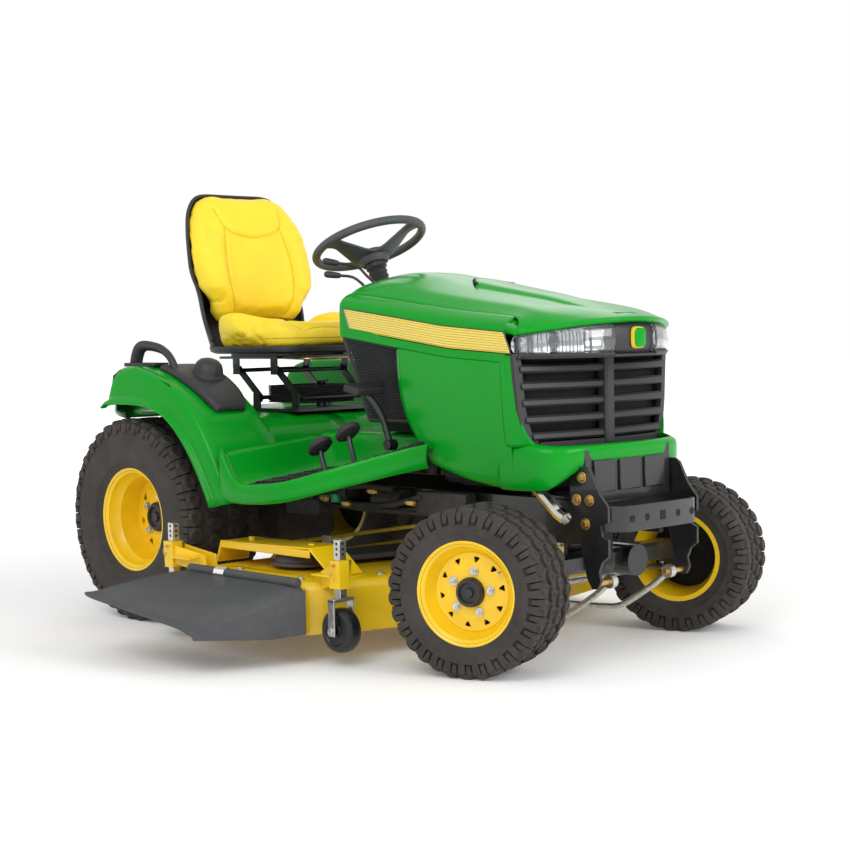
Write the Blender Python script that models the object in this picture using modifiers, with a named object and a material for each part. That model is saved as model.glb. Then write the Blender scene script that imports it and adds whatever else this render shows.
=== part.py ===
"""Riding lawn mower: a garden tractor with a side-discharge mower deck under it.

Metres, +Z up. The machine drives towards -Y and its left side is +X. It is laid out from the
rear axle's centre, on the ground, and the whole model is then moved so that the middle of its
outline stands at the origin.
"""

import math

import bmesh
import bpy
from mathutils import Matrix, Vector

# ---- Driving dimensions -------------------------------------------------------------------
GAP = 0.0006  # clearance left between pieces that touch
FIT = 0.0012  # running clearance round a shaft or in a slide
SIDES = (("right", -1), ("left", 1))

WHEELBASE = 1.448
REAR_TYRE_R = 0.328
REAR_TYRE_W = 0.285
REAR_RIM_R = 0.168
REAR_RIM_W = 0.255
REAR_FLANGE_X = 0.5665  # outer rim flange from the centreline
FRONT_TYRE_R = 0.228
FRONT_TYRE_W = 0.205
FRONT_RIM_R = 0.1425
FRONT_RIM_W = 0.178
KINGPIN_X = 0.435
KINGPIN_TO_FLANGE = 0.120
STEER_REST = math.radians(19.8)  # the wheels stand turned to the machine's left
WHEEL_STEPS = 20

RAIL_X = 0.191  # outer face of a frame rail
RAIL_T = 0.016
RAIL_LOW = 0.370
RAIL_TOP = 0.450
RAIL_FRONT = -1.600
RAIL_REAR = 0.335
HITCH_T = 0.012
BRACKET_T = 0.008
CROSSBAR_T = 0.008
CROSSBAR_FRONT = -1.718
CROSSBAR_LOW = 0.369
CROSSBAR_TOP = 0.441
CROSSBAR_HALF = 0.160

AXLE_PIVOT_Z = 0.255
AXLE_PIN_R = 0.014
AXLE_BEAM_W = 0.070
EAR_T = 0.014
EAR_GAP = 0.040  # from the beam's centreline to the face of each frame ear

HOOD_HALF = 0.300
HOOD_T = 0.005
HOOD_REAR = -0.730
HOOD_NOSE = -1.635
HOOD_CORNER = 0.225  # how far back from the nose the sides begin
HOOD_HINGE = (0.0, -1.600, 0.640)

WHEEL_TILT = math.radians(23)
STEERING_R = 0.190
STEERING_RIM_T = 0.014
STEERING_CENTRE = (0.0, -0.543, 1.203)
STEERING_DISH = 0.050

FENDER_HALF = 0.620
FENDER_T = 0.005
SEAT_DECK_Z = 0.665
SEAT_DECK_HALF = 0.335
FOOT_HALF = 0.600
FOOT_Z = 0.470
TUNNEL_HALF = 0.185
TUNNEL_TOP = 0.610

SEAT_HALF = 0.255
SEAT_FRONT = -0.430
SEAT_REAR = 0.040
SEAT_LOW = 0.872
SEAT_TOP = 0.965
BACK_TOP = 1.418
ARM_LENGTH = 0.140
ARM_RAKE = math.radians(40)
ARM_SPACING = 0.200
ARM_BASE = (-0.345, 0.708)  # y and z of the front arms' lower pin
ARM_X = 0.140

DECK_HALF = 0.685
DECK_TOP = 0.222
DECK_LOW = 0.078
DECK_T = 0.005
SPINDLE_X = 0.440
SPINDLE_Y = -0.715
SPINDLE_STAGGER = 0.210
BLADE_LENGTH = 0.460
BLADE_Z = 0.105
SPINDLE_R = 0.0125
CHUTE_REAR = -0.500
CHUTE_FRONT = -1.020
CHUTE_REACH = 0.330
CHUTE_DROP = 0.105
CHUTE_HINGE = (-DECK_HALF - 0.015, 0.226)  # x and z
GAUGE_R = 0.0625
GAUGE_W = 0.050
GAUGE_Z = 0.098
GAUGE_SPOTS = {
    "front_right": (-DECK_HALF + 0.055, -1.085),
    "front_left": (DECK_HALF - 0.055, -1.085),
    "rear_right": (-DECK_HALF + 0.030, -0.345),
    "rear_left": (DECK_HALF - 0.030, -0.345),
}
STEM = 0.025
ROD_EYE = (-1.637, 0.227)  # y and z of the draft rod's front pins
ROD_X = 0.129
ROD_R = 0.009


# ---- Scene and materials ------------------------------------------------------------------
for old in list(bpy.data.objects):
    bpy.data.objects.remove(old, do_unlink=True)

COLLECTION = bpy.data.collections.new("riding_mower")
bpy.context.scene.collection.children.link(COLLECTION)


def make_material(name, colour, roughness, metallic=0.0):
    made = bpy.data.materials.new(name)
    made.use_nodes = True
    shader = made.node_tree.nodes["Principled BSDF"]
    shader.inputs["Base Color"].default_value = (*colour, 1.0)
    shader.inputs["Roughness"].default_value = roughness
    shader.inputs["Metallic"].default_value = metallic
    return made


GREEN = make_material("green_paint", (0.015, 0.235, 0.035), 0.22)
YELLOW = make_material("yellow_paint", (0.86, 0.52, 0.01), 0.32)
VINYL = make_material("yellow_vinyl", (0.90, 0.62, 0.02), 0.48)
BLACK_PAINT = make_material("black_paint", (0.012, 0.012, 0.013), 0.3)
BLACK_PLASTIC = make_material("black_plastic", (0.03, 0.03, 0.033), 0.55)
GREY_PLASTIC = make_material("grey_plastic", (0.075, 0.075, 0.085), 0.5)
TYRE_RUBBER = make_material("tyre_rubber", (0.045, 0.04, 0.038), 0.85)
WHEEL_RUBBER = make_material("wheel_rubber", (0.012, 0.012, 0.013), 0.35)
ZINC = make_material("zinc", (0.72, 0.72, 0.70), 0.32, 1.0)
CHROME = make_material("polished_steel", (0.75, 0.74, 0.72), 0.15, 1.0)
CAST_METAL = make_material("cast_metal", (0.10, 0.10, 0.10), 0.6, 0.6)
LENS = make_material("clear_lens", (0.85, 0.88, 0.90), 0.08)


# ---- Mesh helpers -------------------------------------------------------------------------
def place(obj, material):
    COLLECTION.objects.link(obj)
    obj.data.materials.clear()
    obj.data.materials.append(material)
    return obj


def bake(obj):
    """Replaces the object's mesh by what its modifiers make of it."""
    graph = bpy.context.evaluated_depsgraph_get()
    mesh = bpy.data.meshes.new_from_object(obj.evaluated_get(graph))
    obj.modifiers.clear()
    obj.data = mesh
    return obj


def face_out(obj):
    """Turns every face of a closed mesh outwards."""
    work = bmesh.new()
    work.from_mesh(obj.data)
    bmesh.ops.recalc_face_normals(work, faces=work.faces)
    work.to_mesh(obj.data)
    work.free()
    return obj


def smooth(obj, angle=40):
    obj.data.shade_smooth()
    obj.data.set_sharp_from_angle(angle=math.radians(angle))
    return obj


def mesh_object(name, work, material):
    mesh = bpy.data.meshes.new(name)
    work.to_mesh(mesh)
    work.free()
    return place(bpy.data.objects.new(name, mesh), material)


def block(name, low, high, material, bevel=0.0, segments=1):
    """A box between two corners, with its edges bevelled when asked."""
    low, high = Vector(low), Vector(high)
    work = bmesh.new()
    bmesh.ops.create_cube(work, size=1.0)
    bmesh.ops.scale(work, vec=high - low, verts=work.verts)
    bmesh.ops.translate(work, vec=(low + high) / 2, verts=work.verts)
    if bevel:
        bmesh.ops.bevel(
            work, geom=list(work.edges), offset=bevel, segments=segments,
            profile=0.5, affect="EDGES",
        )
    return mesh_object(name, work, material)


def rod(name, start, end, radius, material, sides=12, end_radius=None):
    """A cylinder or a cone between two points."""
    start, end = Vector(start), Vector(end)
    work = bmesh.new()
    bmesh.ops.create_cone(
        work, cap_ends=True, segments=sides, radius1=radius,
        radius2=radius if end_radius is None else end_radius, depth=(end - start).length,
    )
    turn = (end - start).to_track_quat("Z", "Y").to_matrix().to_4x4()
    bmesh.ops.transform(work, matrix=Matrix.Translation((start + end) / 2) @ turn, verts=work.verts)
    return smooth(mesh_object(name, work, material))


def bent_tube(name, points, radius, material, sides=2):
    """A round bar along a smooth run of points, with filled ends, made a mesh."""
    curve = bpy.data.curves.new(name, "CURVE")
    curve.dimensions = "3D"
    curve.bevel_depth = radius
    curve.bevel_resolution = sides
    curve.use_fill_caps = True
    spline = curve.splines.new("POLY")
    spline.points.add(len(points) - 1)
    for spot, point in zip(spline.points, points):
        spot.co = (*point, 1.0)
    guide = bpy.data.objects.new(name + "_guide", curve)
    COLLECTION.objects.link(guide)
    mesh = bpy.data.meshes.new_from_object(
        guide.evaluated_get(bpy.context.evaluated_depsgraph_get())
    )
    bpy.data.objects.remove(guide)
    work = bmesh.new()
    work.from_mesh(mesh)
    bmesh.ops.remove_doubles(work, verts=work.verts, dist=0.00001)
    bmesh.ops.recalc_face_normals(work, faces=work.faces)
    return smooth(mesh_object(name, work, material))


def flat_piece(name, outline, thickness, material, across="Z", centre=(0, 0, 0)):
    """A flat outline given thickness along X, Y or Z. The outline's two numbers are the
    other two axes in order, and the thickness is centred on the outline's plane."""
    curve = bpy.data.curves.new(name, "CURVE")
    curve.dimensions = "2D"
    curve.fill_mode = "BOTH"
    curve.extrude = thickness / 2
    spline = curve.splines.new("POLY")
    spline.points.add(len(outline) - 1)
    for spot, point in zip(spline.points, outline):
        spot.co = (point[0], point[1], 0.0, 1.0)
    spline.use_cyclic_u = True
    guide = bpy.data.objects.new(name + "_guide", curve)
    COLLECTION.objects.link(guide)
    mesh = bpy.data.meshes.new_from_object(
        guide.evaluated_get(bpy.context.evaluated_depsgraph_get())
    )
    bpy.data.objects.remove(guide)
    columns = {"Z": "XYZ", "Y": "XZY", "X": "YZX"}[across]
    turn = Matrix([[1.0 if "XYZ"[row] == columns[col] else 0.0 for col in range(3)]
                   for row in range(3)]).to_4x4()
    work = bmesh.new()
    work.from_mesh(mesh)
    bmesh.ops.remove_doubles(work, verts=work.verts, dist=0.00001)
    bmesh.ops.transform(work, matrix=Matrix.Translation(centre) @ turn, verts=work.verts)
    bmesh.ops.recalc_face_normals(work, faces=work.faces)
    return mesh_object(name, work, material)


def turned(name, profile, material, steps=WHEEL_STEPS, ring=True):
    """A profile of (radius, height) points turned about Z. A ring's profile is a closed loop,
    and any other starts and ends on the axis."""
    mesh = bpy.data.meshes.new(name)
    points = [(radius, 0.0, height) for radius, height in profile]
    edges = [(i, i + 1) for i in range(len(points) - 1)]
    if ring:
        edges.append((len(points) - 1, 0))
    mesh.from_pydata(points, edges, [])
    obj = place(bpy.data.objects.new(name, mesh), material)
    screw = obj.modifiers.new("turn", "SCREW")
    screw.steps = steps
    screw.render_steps = steps
    screw.use_merge_vertices = True
    screw.merge_threshold = 0.0001
    return smooth(face_out(bake(obj)))


def skin(name, rows, thickness, material, close_rows=False):
    """A sheet through rows of points, thickened inwards, away from its outer side."""
    work = bmesh.new()
    made = [[work.verts.new(point) for point in row] for row in rows]
    pairs = list(zip(made, made[1:]))
    if close_rows:
        pairs.append((made[-1], made[0]))
    for first, second in pairs:
        for i in range(len(first) - 1):
            work.faces.new((first[i], first[i + 1], second[i + 1], second[i]))
    obj = mesh_object(name, work, material)
    solid = obj.modifiers.new("wall", "SOLIDIFY")
    solid.thickness = thickness
    solid.offset = -1
    solid.use_even_offset = True
    return smooth(bake(obj))


def loft(name, sections, material):
    """A closed body through matching closed sections, with flat ends."""
    work = bmesh.new()
    made = [[work.verts.new(point) for point in section] for section in sections]
    count = len(made[0])
    for first, second in zip(made, made[1:]):
        for i in range(count):
            j = (i + 1) % count
            work.faces.new((first[i], first[j], second[j], second[i]))
    work.faces.new(made[0])
    work.faces.new(list(reversed(made[-1])))
    bmesh.ops.recalc_face_normals(work, faces=work.faces)
    return smooth(mesh_object(name, work, material))


def combine(target, others, operation):
    """Joins the others to the target, or cuts them from it, and removes them."""
    for other in others:
        step = target.modifiers.new("combine", "BOOLEAN")
        step.operation = operation
        step.solver = "EXACT"
        step.object = other
        bake(target)
        bpy.data.objects.remove(other, do_unlink=True)
    return target


def clean(obj):
    """Merges what a cut leaves closer together than two hundredths of a millimetre."""
    work = bmesh.new()
    work.from_mesh(obj.data)
    bmesh.ops.remove_doubles(work, verts=work.verts, dist=0.00002)
    bmesh.ops.dissolve_degenerate(work, edges=work.edges, dist=0.00002)
    bmesh.ops.triangulate(work, faces=work.faces)
    work.to_mesh(obj.data)
    work.free()
    return obj


def fuse(target, *others):
    return combine(target, others, "UNION")


def cut(target, *others):
    return combine(target, others, "DIFFERENCE")


def moved(obj, matrix):
    obj.data.transform(matrix)
    if matrix.determinant() < 0:
        obj.data.flip_normals()
    return obj


def mirrored(obj, name):
    """A copy of the object on the other side of the centreline."""
    twin = bpy.data.objects.new(name, obj.data.copy())
    COLLECTION.objects.link(twin)
    return moved(twin, Matrix.Scale(-1, 4, (1, 0, 0)))


def empty(name, spot, parent, turn=None):
    made = bpy.data.objects.new(name, None)
    COLLECTION.objects.link(made)
    made.empty_display_size = 0.05
    made.parent = parent
    made.location = spot
    if turn is not None:
        made.rotation_euler = turn
    return made


def hang(obj, parent, world_parent):
    """Hangs a piece that was modelled in world coordinates on an empty at world_parent."""
    obj.parent = parent
    obj.location = -Vector(world_parent)
    return obj


ROOT = empty("mower", (0, 0, 0), None)


def pivot(name, spot, *pieces):
    """An empty on a joint's axis, which carries the pieces that move about it."""
    made = empty("axis_" + name, spot, ROOT)
    for piece in pieces:
        hang(piece, made, spot)
    return made


# ---- Wheels -------------------------------------------------------------------------------
def tyre_profile(radius, width, rim_r, rim_w):
    """A hollow tyre's section as a closed loop, with its beads inside the rim's flanges."""
    crown = radius / math.cos(math.pi / WHEEL_STEPS)  # the flats touch the ground, not the corners
    seat = rim_r - RIM_LIP + GAP
    middle = (radius + rim_r) / 2
    upper = [
        (crown, 0.30 * width), (crown - 0.022, 0.455 * width), (middle, 0.5 * width),
        (rim_r - 0.001, rim_w / 2 - 0.0075), (seat, rim_w / 2 - 0.0105),
        (seat, rim_w / 2 - 0.026), (middle, 0.5 * width - 0.014), (radius - 0.026, 0.38 * width),
    ]
    return upper + [(r, -a) for r, a in reversed(upper)]


def make_tyre(name, radius, width, rim_r, rim_w):
    tyre = turned(name, tyre_profile(radius, width, rim_r, rim_w), TYRE_RUBBER)
    return moved(tyre, HALF_STEP)


HALF_STEP = Matrix.Rotation(math.pi / WHEEL_STEPS, 4, "Z")
RIM_LIP = 0.016  # how far a flange stands above the seat of the bead
RIM_WALL = 0.005


def rim_profile(radius, width, disc, hub_r, hub_face):
    """A rim's section: two flanges, the barrel and the dished disc. The disc stands disc below
    the outer flange, and the hub face stands hub_face below it."""
    top = width / 2
    seat = radius - RIM_LIP
    inside = seat - RIM_WALL
    return [
        (radius, top), (radius, top - 0.006), (seat, top - 0.009), (seat, 0.009 - top),
        (radius, 0.006 - top), (radius, -top), (inside, 0.004 - top),
        (inside, top - disc - RIM_WALL), (hub_r + 0.022, top - hub_face - RIM_WALL),
        (hub_r, top - hub_face - RIM_WALL), (hub_r, top - hub_face),
        (hub_r + 0.025, top - hub_face), (inside, top - disc), (inside, top - 0.004),
    ]


def make_rim(name, radius, width, disc, hub_r, hub_face, holes, hole_ring, hole_r):
    rim = turned(name, rim_profile(radius, width, disc, hub_r, hub_face), YELLOW)
    moved(rim, HALF_STEP)
    for k in range(holes):
        angle = 2 * math.pi * (k + 0.5) / holes
        spot = Vector((hole_ring * math.cos(angle), hole_ring * math.sin(angle), 0))
        low = spot + Vector((0, 0, width / 2 - disc - 0.06))
        high = spot + Vector((0, 0, width / 2 + 0.01))
        cut(rim, rod("vent", low, high, hole_r, YELLOW, sides=6))
    return rim


def wheel(side_name, sign, front):
    """A rim and its tyre, made about their own axle and stood on it, outer side out."""
    if front:
        size = (FRONT_TYRE_R, FRONT_TYRE_W, FRONT_RIM_R, FRONT_RIM_W)
        rim = make_rim(f"front_rim_{side_name}", FRONT_RIM_R, FRONT_RIM_W, 0.048, 0.034, 0.040,
                       5, 0.083, 0.009)
    else:
        size = (REAR_TYRE_R, REAR_TYRE_W, REAR_RIM_R, REAR_RIM_W)
        rim = make_rim(f"rear_rim_{side_name}", REAR_RIM_R, REAR_RIM_W, 0.120, 0.040, 0.112,
                       4, 0.096, 0.012)
    where = "front" if front else "rear"
    tyre = make_tyre(f"{where}_tyre_{side_name}", *size)
    stand = Matrix.Rotation(sign * math.pi / 2, 4, "Y")
    moved(rim, stand)
    moved(tyre, Matrix.Rotation(math.pi / 2, 4, "Y"))
    return rim, tyre


def stand_wheels():
    """The four wheels. The front ones hang on their king pins and turn with them."""
    for side_name, sign in SIDES:
        rim, tyre = wheel(side_name, sign, False)
        centre = (sign * (REAR_FLANGE_X - REAR_RIM_W / 2), 0.0, REAR_TYRE_R)
        axle = empty(f"axis_rear_wheel_{side_name}", centre, ROOT)
        rim.parent = axle
        tyre.parent = axle

        rim, tyre = wheel(side_name, sign, True)
        kingpin = KINGPINS[side_name]
        inset = KINGPIN_TO_FLANGE - FRONT_RIM_W / 2
        axle = empty(f"axis_front_wheel_{side_name}", (sign * inset, 0.0, 0.0), kingpin)
        rim.parent = axle
        tyre.parent = axle


# ---- Frame --------------------------------------------------------------------------------
def make_frame():
    """Two rails joined by cross members, with the hitch plate and the front axle's ears."""
    frame = None
    inner = RAIL_X - RAIL_T
    for _, sign in SIDES:
        low, high = sorted((sign * inner, sign * RAIL_X))
        rail = block("rail", (low, RAIL_FRONT, RAIL_LOW), (high, RAIL_REAR, RAIL_TOP), BLACK_PAINT)
        frame = fuse(frame, rail) if frame else rail
    frame.name = "main_frame"
    ear_near = EAR_GAP + EAR_T
    members = [
        ((-inner - 0.004, RAIL_FRONT + 0.004, RAIL_LOW + 0.004),
         (inner + 0.004, RAIL_FRONT + 0.024, RAIL_TOP - 0.004)),
        ((-inner - 0.004, -WHEELBASE - ear_near, RAIL_LOW + 0.004),
         (inner + 0.004, -WHEELBASE + ear_near, RAIL_LOW + 0.020)),
        ((-inner - 0.004, -0.800, RAIL_LOW + 0.004), (inner + 0.004, -0.760, RAIL_LOW + 0.024)),
        ((-RAIL_X, RAIL_REAR - 0.004, 0.290), (RAIL_X, RAIL_REAR + HITCH_T, RAIL_TOP)),
    ]
    for low, high in members:
        fuse(frame, block("member", low, high, BLACK_PAINT))
    for end in (-1, 1):
        near, far = sorted((-WHEELBASE + end * EAR_GAP, -WHEELBASE + end * ear_near))
        ear = block("ear", (-0.045, near, AXLE_PIVOT_Z - 0.035), (0.045, far, RAIL_LOW + 0.010),
                    BLACK_PAINT)
        fuse(frame, ear)
    pin = rod("pin", (0, -WHEELBASE - ear_near - 0.006, AXLE_PIVOT_Z),
              (0, -WHEELBASE + ear_near + 0.006, AXLE_PIVOT_Z), AXLE_PIN_R, ZINC)
    fuse(frame, pin)
    hole = rod("hole", (0, RAIL_REAR - 0.02, 0.325), (0, RAIL_REAR + 0.03, 0.325), 0.013, ZINC)
    cut(frame, hole)
    pivot("frame", (0, 0, RAIL_LOW), frame)


def make_front_brackets():
    """The two side plates that carry front attachments, bolted outside the rails."""
    outline = [
        (-1.560, 0.212), (-1.645, 0.212), (-1.668, 0.240), (-1.668, 0.440), (-1.690, 0.470),
        (-1.690, 0.492), (-1.672, 0.492), (-1.668, 0.478), (-1.655, 0.478), (-1.650, 0.505),
        (-1.632, 0.538), (-1.600, 0.545), (-1.572, 0.535), (-1.560, 0.500), (-1.545, 0.440),
        (-1.545, 0.340), (-1.560, 0.300),
    ]
    holes = [(-1.599, 0.516), (-1.590, 0.420), (-1.640, 0.255)]
    for side_name, sign in SIDES:
        middle = sign * (RAIL_X + GAP + BRACKET_T / 2)
        plate = flat_piece(f"front_bracket_{side_name}", outline, BRACKET_T, BLACK_PAINT, "X",
                           (middle, 0, 0))
        for y, z in holes:
            cut(plate, rod("hole", (middle - 0.02, y, z), (middle + 0.02, y, z), 0.006,
                           BLACK_PAINT, sides=8))
        pivot(f"front_bracket_{side_name}", (middle, -1.600, 0.400), plate)


def make_crossbar():
    """The bumper bar between the bracket plates, bent back at its ends, with its hole pattern."""
    half, front, thick = CROSSBAR_HALF, CROSSBAR_FRONT, CROSSBAR_T
    end_x, root, bend = RAIL_X, front + 0.090, front + 0.046
    outer = [(-end_x, root), (-end_x, bend), (-half, front)]
    inner = [(-half + thick * 0.4, front + thick), (-end_x + thick, bend + thick * 0.4),
             (-end_x + thick, root)]
    left = [(-x, y) for x, y in reversed(outer)]
    left_inner = [(-x, y) for x, y in reversed(inner)]
    outline = outer + left + left_inner + inner
    height = CROSSBAR_TOP - CROSSBAR_LOW
    middle = (CROSSBAR_TOP + CROSSBAR_LOW) / 2
    bar = flat_piece("front_crossbar", outline, height, BLACK_PAINT, "Z", (0, 0, middle))
    for x, z, radius in ((0.132, 0.0, 0.009), (0.085, -0.008, 0.006)):
        for sign in (-1, 1):
            cut(bar, rod("hole", (sign * x, front - 0.02, middle + z),
                         (sign * x, front + 0.03, middle + z), radius, BLACK_PAINT, sides=12))
    cut(bar, block("square", (-0.014, front - 0.02, middle - 0.016),
                   (0.014, front + 0.03, middle + 0.016), BLACK_PAINT))
    pivot("crossbar", (0, CROSSBAR_FRONT, middle), bar)


def make_transaxle():
    """The gearbox between the rear wheels, with its axle tubes and hub flanges."""
    case = block("transaxle", (-0.150, -0.200, 0.215), (0.150, 0.200, 0.520), CAST_METAL, 0.030)
    hub_x = REAR_FLANGE_X - 0.112 - 0.005 - GAP
    tube = rod("tube", (-hub_x + 0.006, 0, REAR_TYRE_R), (hub_x - 0.006, 0, REAR_TYRE_R), 0.038,
               CAST_METAL)
    fuse(case, tube)
    for sign in (-1, 1):
        flange = rod("flange", (sign * (hub_x - 0.016), 0, REAR_TYRE_R),
                     (sign * hub_x, 0, REAR_TYRE_R), 0.062, CAST_METAL, sides=20)
        fuse(case, flange)
        stub = rod("stub", (sign * (hub_x - 0.01), 0, REAR_TYRE_R),
                   (sign * (hub_x + 0.022), 0, REAR_TYRE_R), 0.036, CAST_METAL, sides=20)
        fuse(case, stub)
    fuse(case, rod("pump", (0, -0.190, 0.400), (0, -0.330, 0.400), 0.075, CAST_METAL, sides=20))
    pivot("transaxle", (0, 0, REAR_TYRE_R), case)


def make_engine():
    """Engine block, sump, head and cooling shroud as one casting."""
    engine = block("engine", (-0.145, -1.320, 0.470), (0.145, -1.000, 0.700), CAST_METAL, 0.015)
    fuse(engine, block("sump", (-0.110, -1.280, 0.460), (0.110, -1.040, 0.480), CAST_METAL, 0.01))
    fuse(engine, block("head", (-0.100, -1.290, 0.690), (0.100, -1.020, 0.800), CAST_METAL, 0.02))
    fuse(engine, rod("fan_hub", (0, -1.310, 0.620), (0, -1.360, 0.620), 0.040, CAST_METAL))
    fuse(engine, rod("fan", (0, -1.348, 0.620), (0, -1.366, 0.620), 0.150, CAST_METAL, sides=24))
    pivot("engine", (0, -1.100, 0.470), engine)

    radiator = block("radiator", (-0.200, -1.450, 0.470), (0.200, -1.395, 0.830), BLACK_PLASTIC)
    for z in (0.470, 0.800):
        fuse(radiator, block("tank", (-0.210, -1.457, z), (0.210, -1.388, z + 0.030),
                             BLACK_PLASTIC, 0.006))
    pivot("radiator", (0, -1.422, 0.470), radiator)


def make_exhaust():
    """The silencer on the right of the engine and its pipe, which ends ahead of the wheel."""
    path = [
        (-0.222, -1.260, 0.560), (-0.226, -1.330, 0.545), (-0.232, -1.400, 0.518),
        (-0.235, -1.460, 0.488), (-0.235, -1.505, 0.452), (-0.236, -1.545, 0.418),
        (-0.240, -1.575, 0.404),
    ]
    pipe = bent_tube("exhaust_pipe", path, 0.019, CHROME, sides=3)
    fuse(pipe, rod("silencer", (-0.214, -1.050, 0.570), (-0.214, -1.275, 0.570), 0.044, CHROME,
                   sides=20))
    end = Vector(path[-1])
    run = (end - Vector(path[-2])).normalized()
    cut(pipe, rod("bore", end - run * 0.022, end + run * 0.01, 0.0165, CHROME))
    pivot("exhaust", path[0], pipe)


# ---- Bodywork -----------------------------------------------------------------------------
def between(stops, value):
    """Straight-line reading of a list of (position, result) stops in rising position."""
    if value <= stops[0][0]:
        return stops[0][1]
    for (first, low), (second, high) in zip(stops, stops[1:]):
        if value <= second:
            return low + (high - low) * (value - first) / (second - first)
    return stops[-1][1]


HOOD_CROWN = [(-1.66, 0.955), (-1.50, 0.990), (-1.35, 1.018), (-1.13, 1.050), (-1.00, 1.078),
              (-0.88, 1.104), (-0.73, 1.098)]
HOOD_SHOULDER = [(-1.66, 0.936), (-1.45, 0.944), (-0.73, 1.012)]
HOOD_STRIPE = [(-1.66, 0.915), (-1.45, 0.918), (-0.73, 0.990)]
HOOD_SKIRT = [(-1.66, 0.552), (-1.60, 0.552), (-1.56, 0.478), (-1.44, 0.476), (-1.26, 0.500),
              (-1.09, 0.537), (-0.73, 0.560)]


def nose_path(half, nose, corner, power, count=7):
    """A U in plan: from the right rear round the nose to the left rear, as (x, y) points."""
    start = nose + corner
    side_stops = [HOOD_REAR, -0.95, -1.09, -1.26]
    right = [(-half, y) for y in side_stops]
    arc = []
    for k in range(count):
        angle = math.pi / 2 * k / (count - 1)
        x = half * math.cos(angle) ** (2 / power)
        y = start - corner * math.sin(angle) ** (2 / power)
        arc.append((-x, y))
    left = [(-x, y) for x, y in reversed(right + arc[:-1])]
    return right + arc + left


def hood_rows():
    """Rows of the hood from its skirt, up the sides and over the top to the centreline."""
    rows = []
    levels = [  # share of the height from skirt to stripe, half width, nose, corner, power
        (0.00, 0.272, -1.640, 0.175, 2.6),
        (0.12, 0.284, -1.646, 0.180, 2.6),
        (0.30, 0.292, -1.590, 0.190, 2.6),
        (0.75, 0.298, -1.612, 0.200, 2.6),
        (1.00, HOOD_HALF, -1.620, HOOD_CORNER, 2.5),
    ]
    for share, half, nose, corner, power in levels:
        row = []
        for x, y in nose_path(half, nose, corner, power):
            low, high = between(HOOD_SKIRT, y), between(HOOD_STRIPE, y)
            row.append((x, y, low + (high - low) * share))
        rows.append(row)
    lip = [(x, y, between(HOOD_STRIPE, y) + 0.006)
           for x, y in nose_path(HOOD_HALF - 0.002, HOOD_NOSE - 0.015, HOOD_CORNER, 2.5)]
    rows.append(lip)
    edge = nose_path(HOOD_HALF - 0.022, HOOD_NOSE - 0.010, HOOD_CORNER - 0.010, 2.5)
    rows.append([(x, y, between(HOOD_SHOULDER, y)) for x, y in edge])
    for share in (0.72, 0.38, 0.0):
        row = []
        for x, y in edge:
            back = (1 - share) * 0.30 * max(0.0, 1 - (y - HOOD_NOSE) / 0.30)
            crown, side = between(HOOD_CROWN, y + back * 0.3), between(HOOD_SHOULDER, y)
            rise = math.cos(share * math.pi / 2) ** 0.8
            row.append((x * share, y + back * 0.25, side + (crown - side) * rise))
        rows.append(row)
    return rows


def make_hood():
    """The tilting hood: one sheet, open at the rear and below, cut for grille, lamps and legs."""
    rows = hood_rows()
    work = bmesh.new()
    made = [[work.verts.new(point) for point in row] for row in rows]
    for first, second in zip(made, made[1:]):
        for i in range(len(first) - 1):
            work.faces.new((first[i], second[i], second[i + 1], first[i + 1]))
    bmesh.ops.remove_doubles(work, verts=work.verts, dist=0.0005)
    bmesh.ops.recalc_face_normals(work, faces=work.faces)
    hood = mesh_object("hood_shell", work, GREEN)
    if sum(face.normal.z * face.area for face in hood.data.polygons) < 0:
        hood.data.flip_normals()
    wall = hood.modifiers.new("wall", "SOLIDIFY")
    wall.thickness = HOOD_T
    wall.offset = -1
    bake(hood)
    leg_room = [(-0.60, 0.905), (-0.735, 0.905), (-0.990, 0.872), (-0.945, 0.700),
                (-1.000, 0.630), (-1.092, 0.590), (-1.092, 0.300), (-0.60, 0.300)]
    cut(hood, flat_piece("legs", leg_room, 1.2, GREEN, "X"))
    cut(hood, block("front_opening", (-OPENING_HALF, -1.75, 0.606), (OPENING_HALF, -1.47, 0.905),
                    GREEN))
    clean(hood)
    smooth(hood)
    grille = make_grille()
    lamps = make_lamps()
    pivot("hood", HOOD_HINGE, hood, grille, *lamps)


OPENING_HALF = 0.274


def front_arc(half, depth, count=9):
    """The front opening's plan: a shallow bow from side to side, at the given depth."""
    return [(half * (2 * k / (count - 1) - 1),
             depth + 0.045 * (2 * k / (count - 1) - 1) ** 2) for k in range(count)]


def make_grille():
    """A frame with louvre slots in two banks, and the badge housing above it."""
    low, high, half = 0.612, 0.842, OPENING_HALF - 0.002
    front = front_arc(half, HOOD_NOSE + 0.115)
    back = [(x, y + 0.022) for x, y in front]
    body = flat_piece("grille", front + list(reversed(back)), high - low, BLACK_PLASTIC, "Z",
                      (0, 0, (low + high) / 2))
    for bank in (-1, 1):
        for k in range(4):
            z = low + 0.030 + k * 0.050
            near, far = sorted((bank * 0.020, bank * (half - 0.022)))
            cut(body, block("slot", (near, HOOD_NOSE - 0.05, z), (far, HOOD_NOSE + 0.22, z + 0.026),
                            BLACK_PLASTIC))
    housing = block("housing", (-0.048, HOOD_NOSE + 0.030, high - 0.006),
                    (0.048, HOOD_NOSE + 0.135, 0.902), BLACK_PLASTIC, 0.006)
    return fuse(body, housing)


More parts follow.
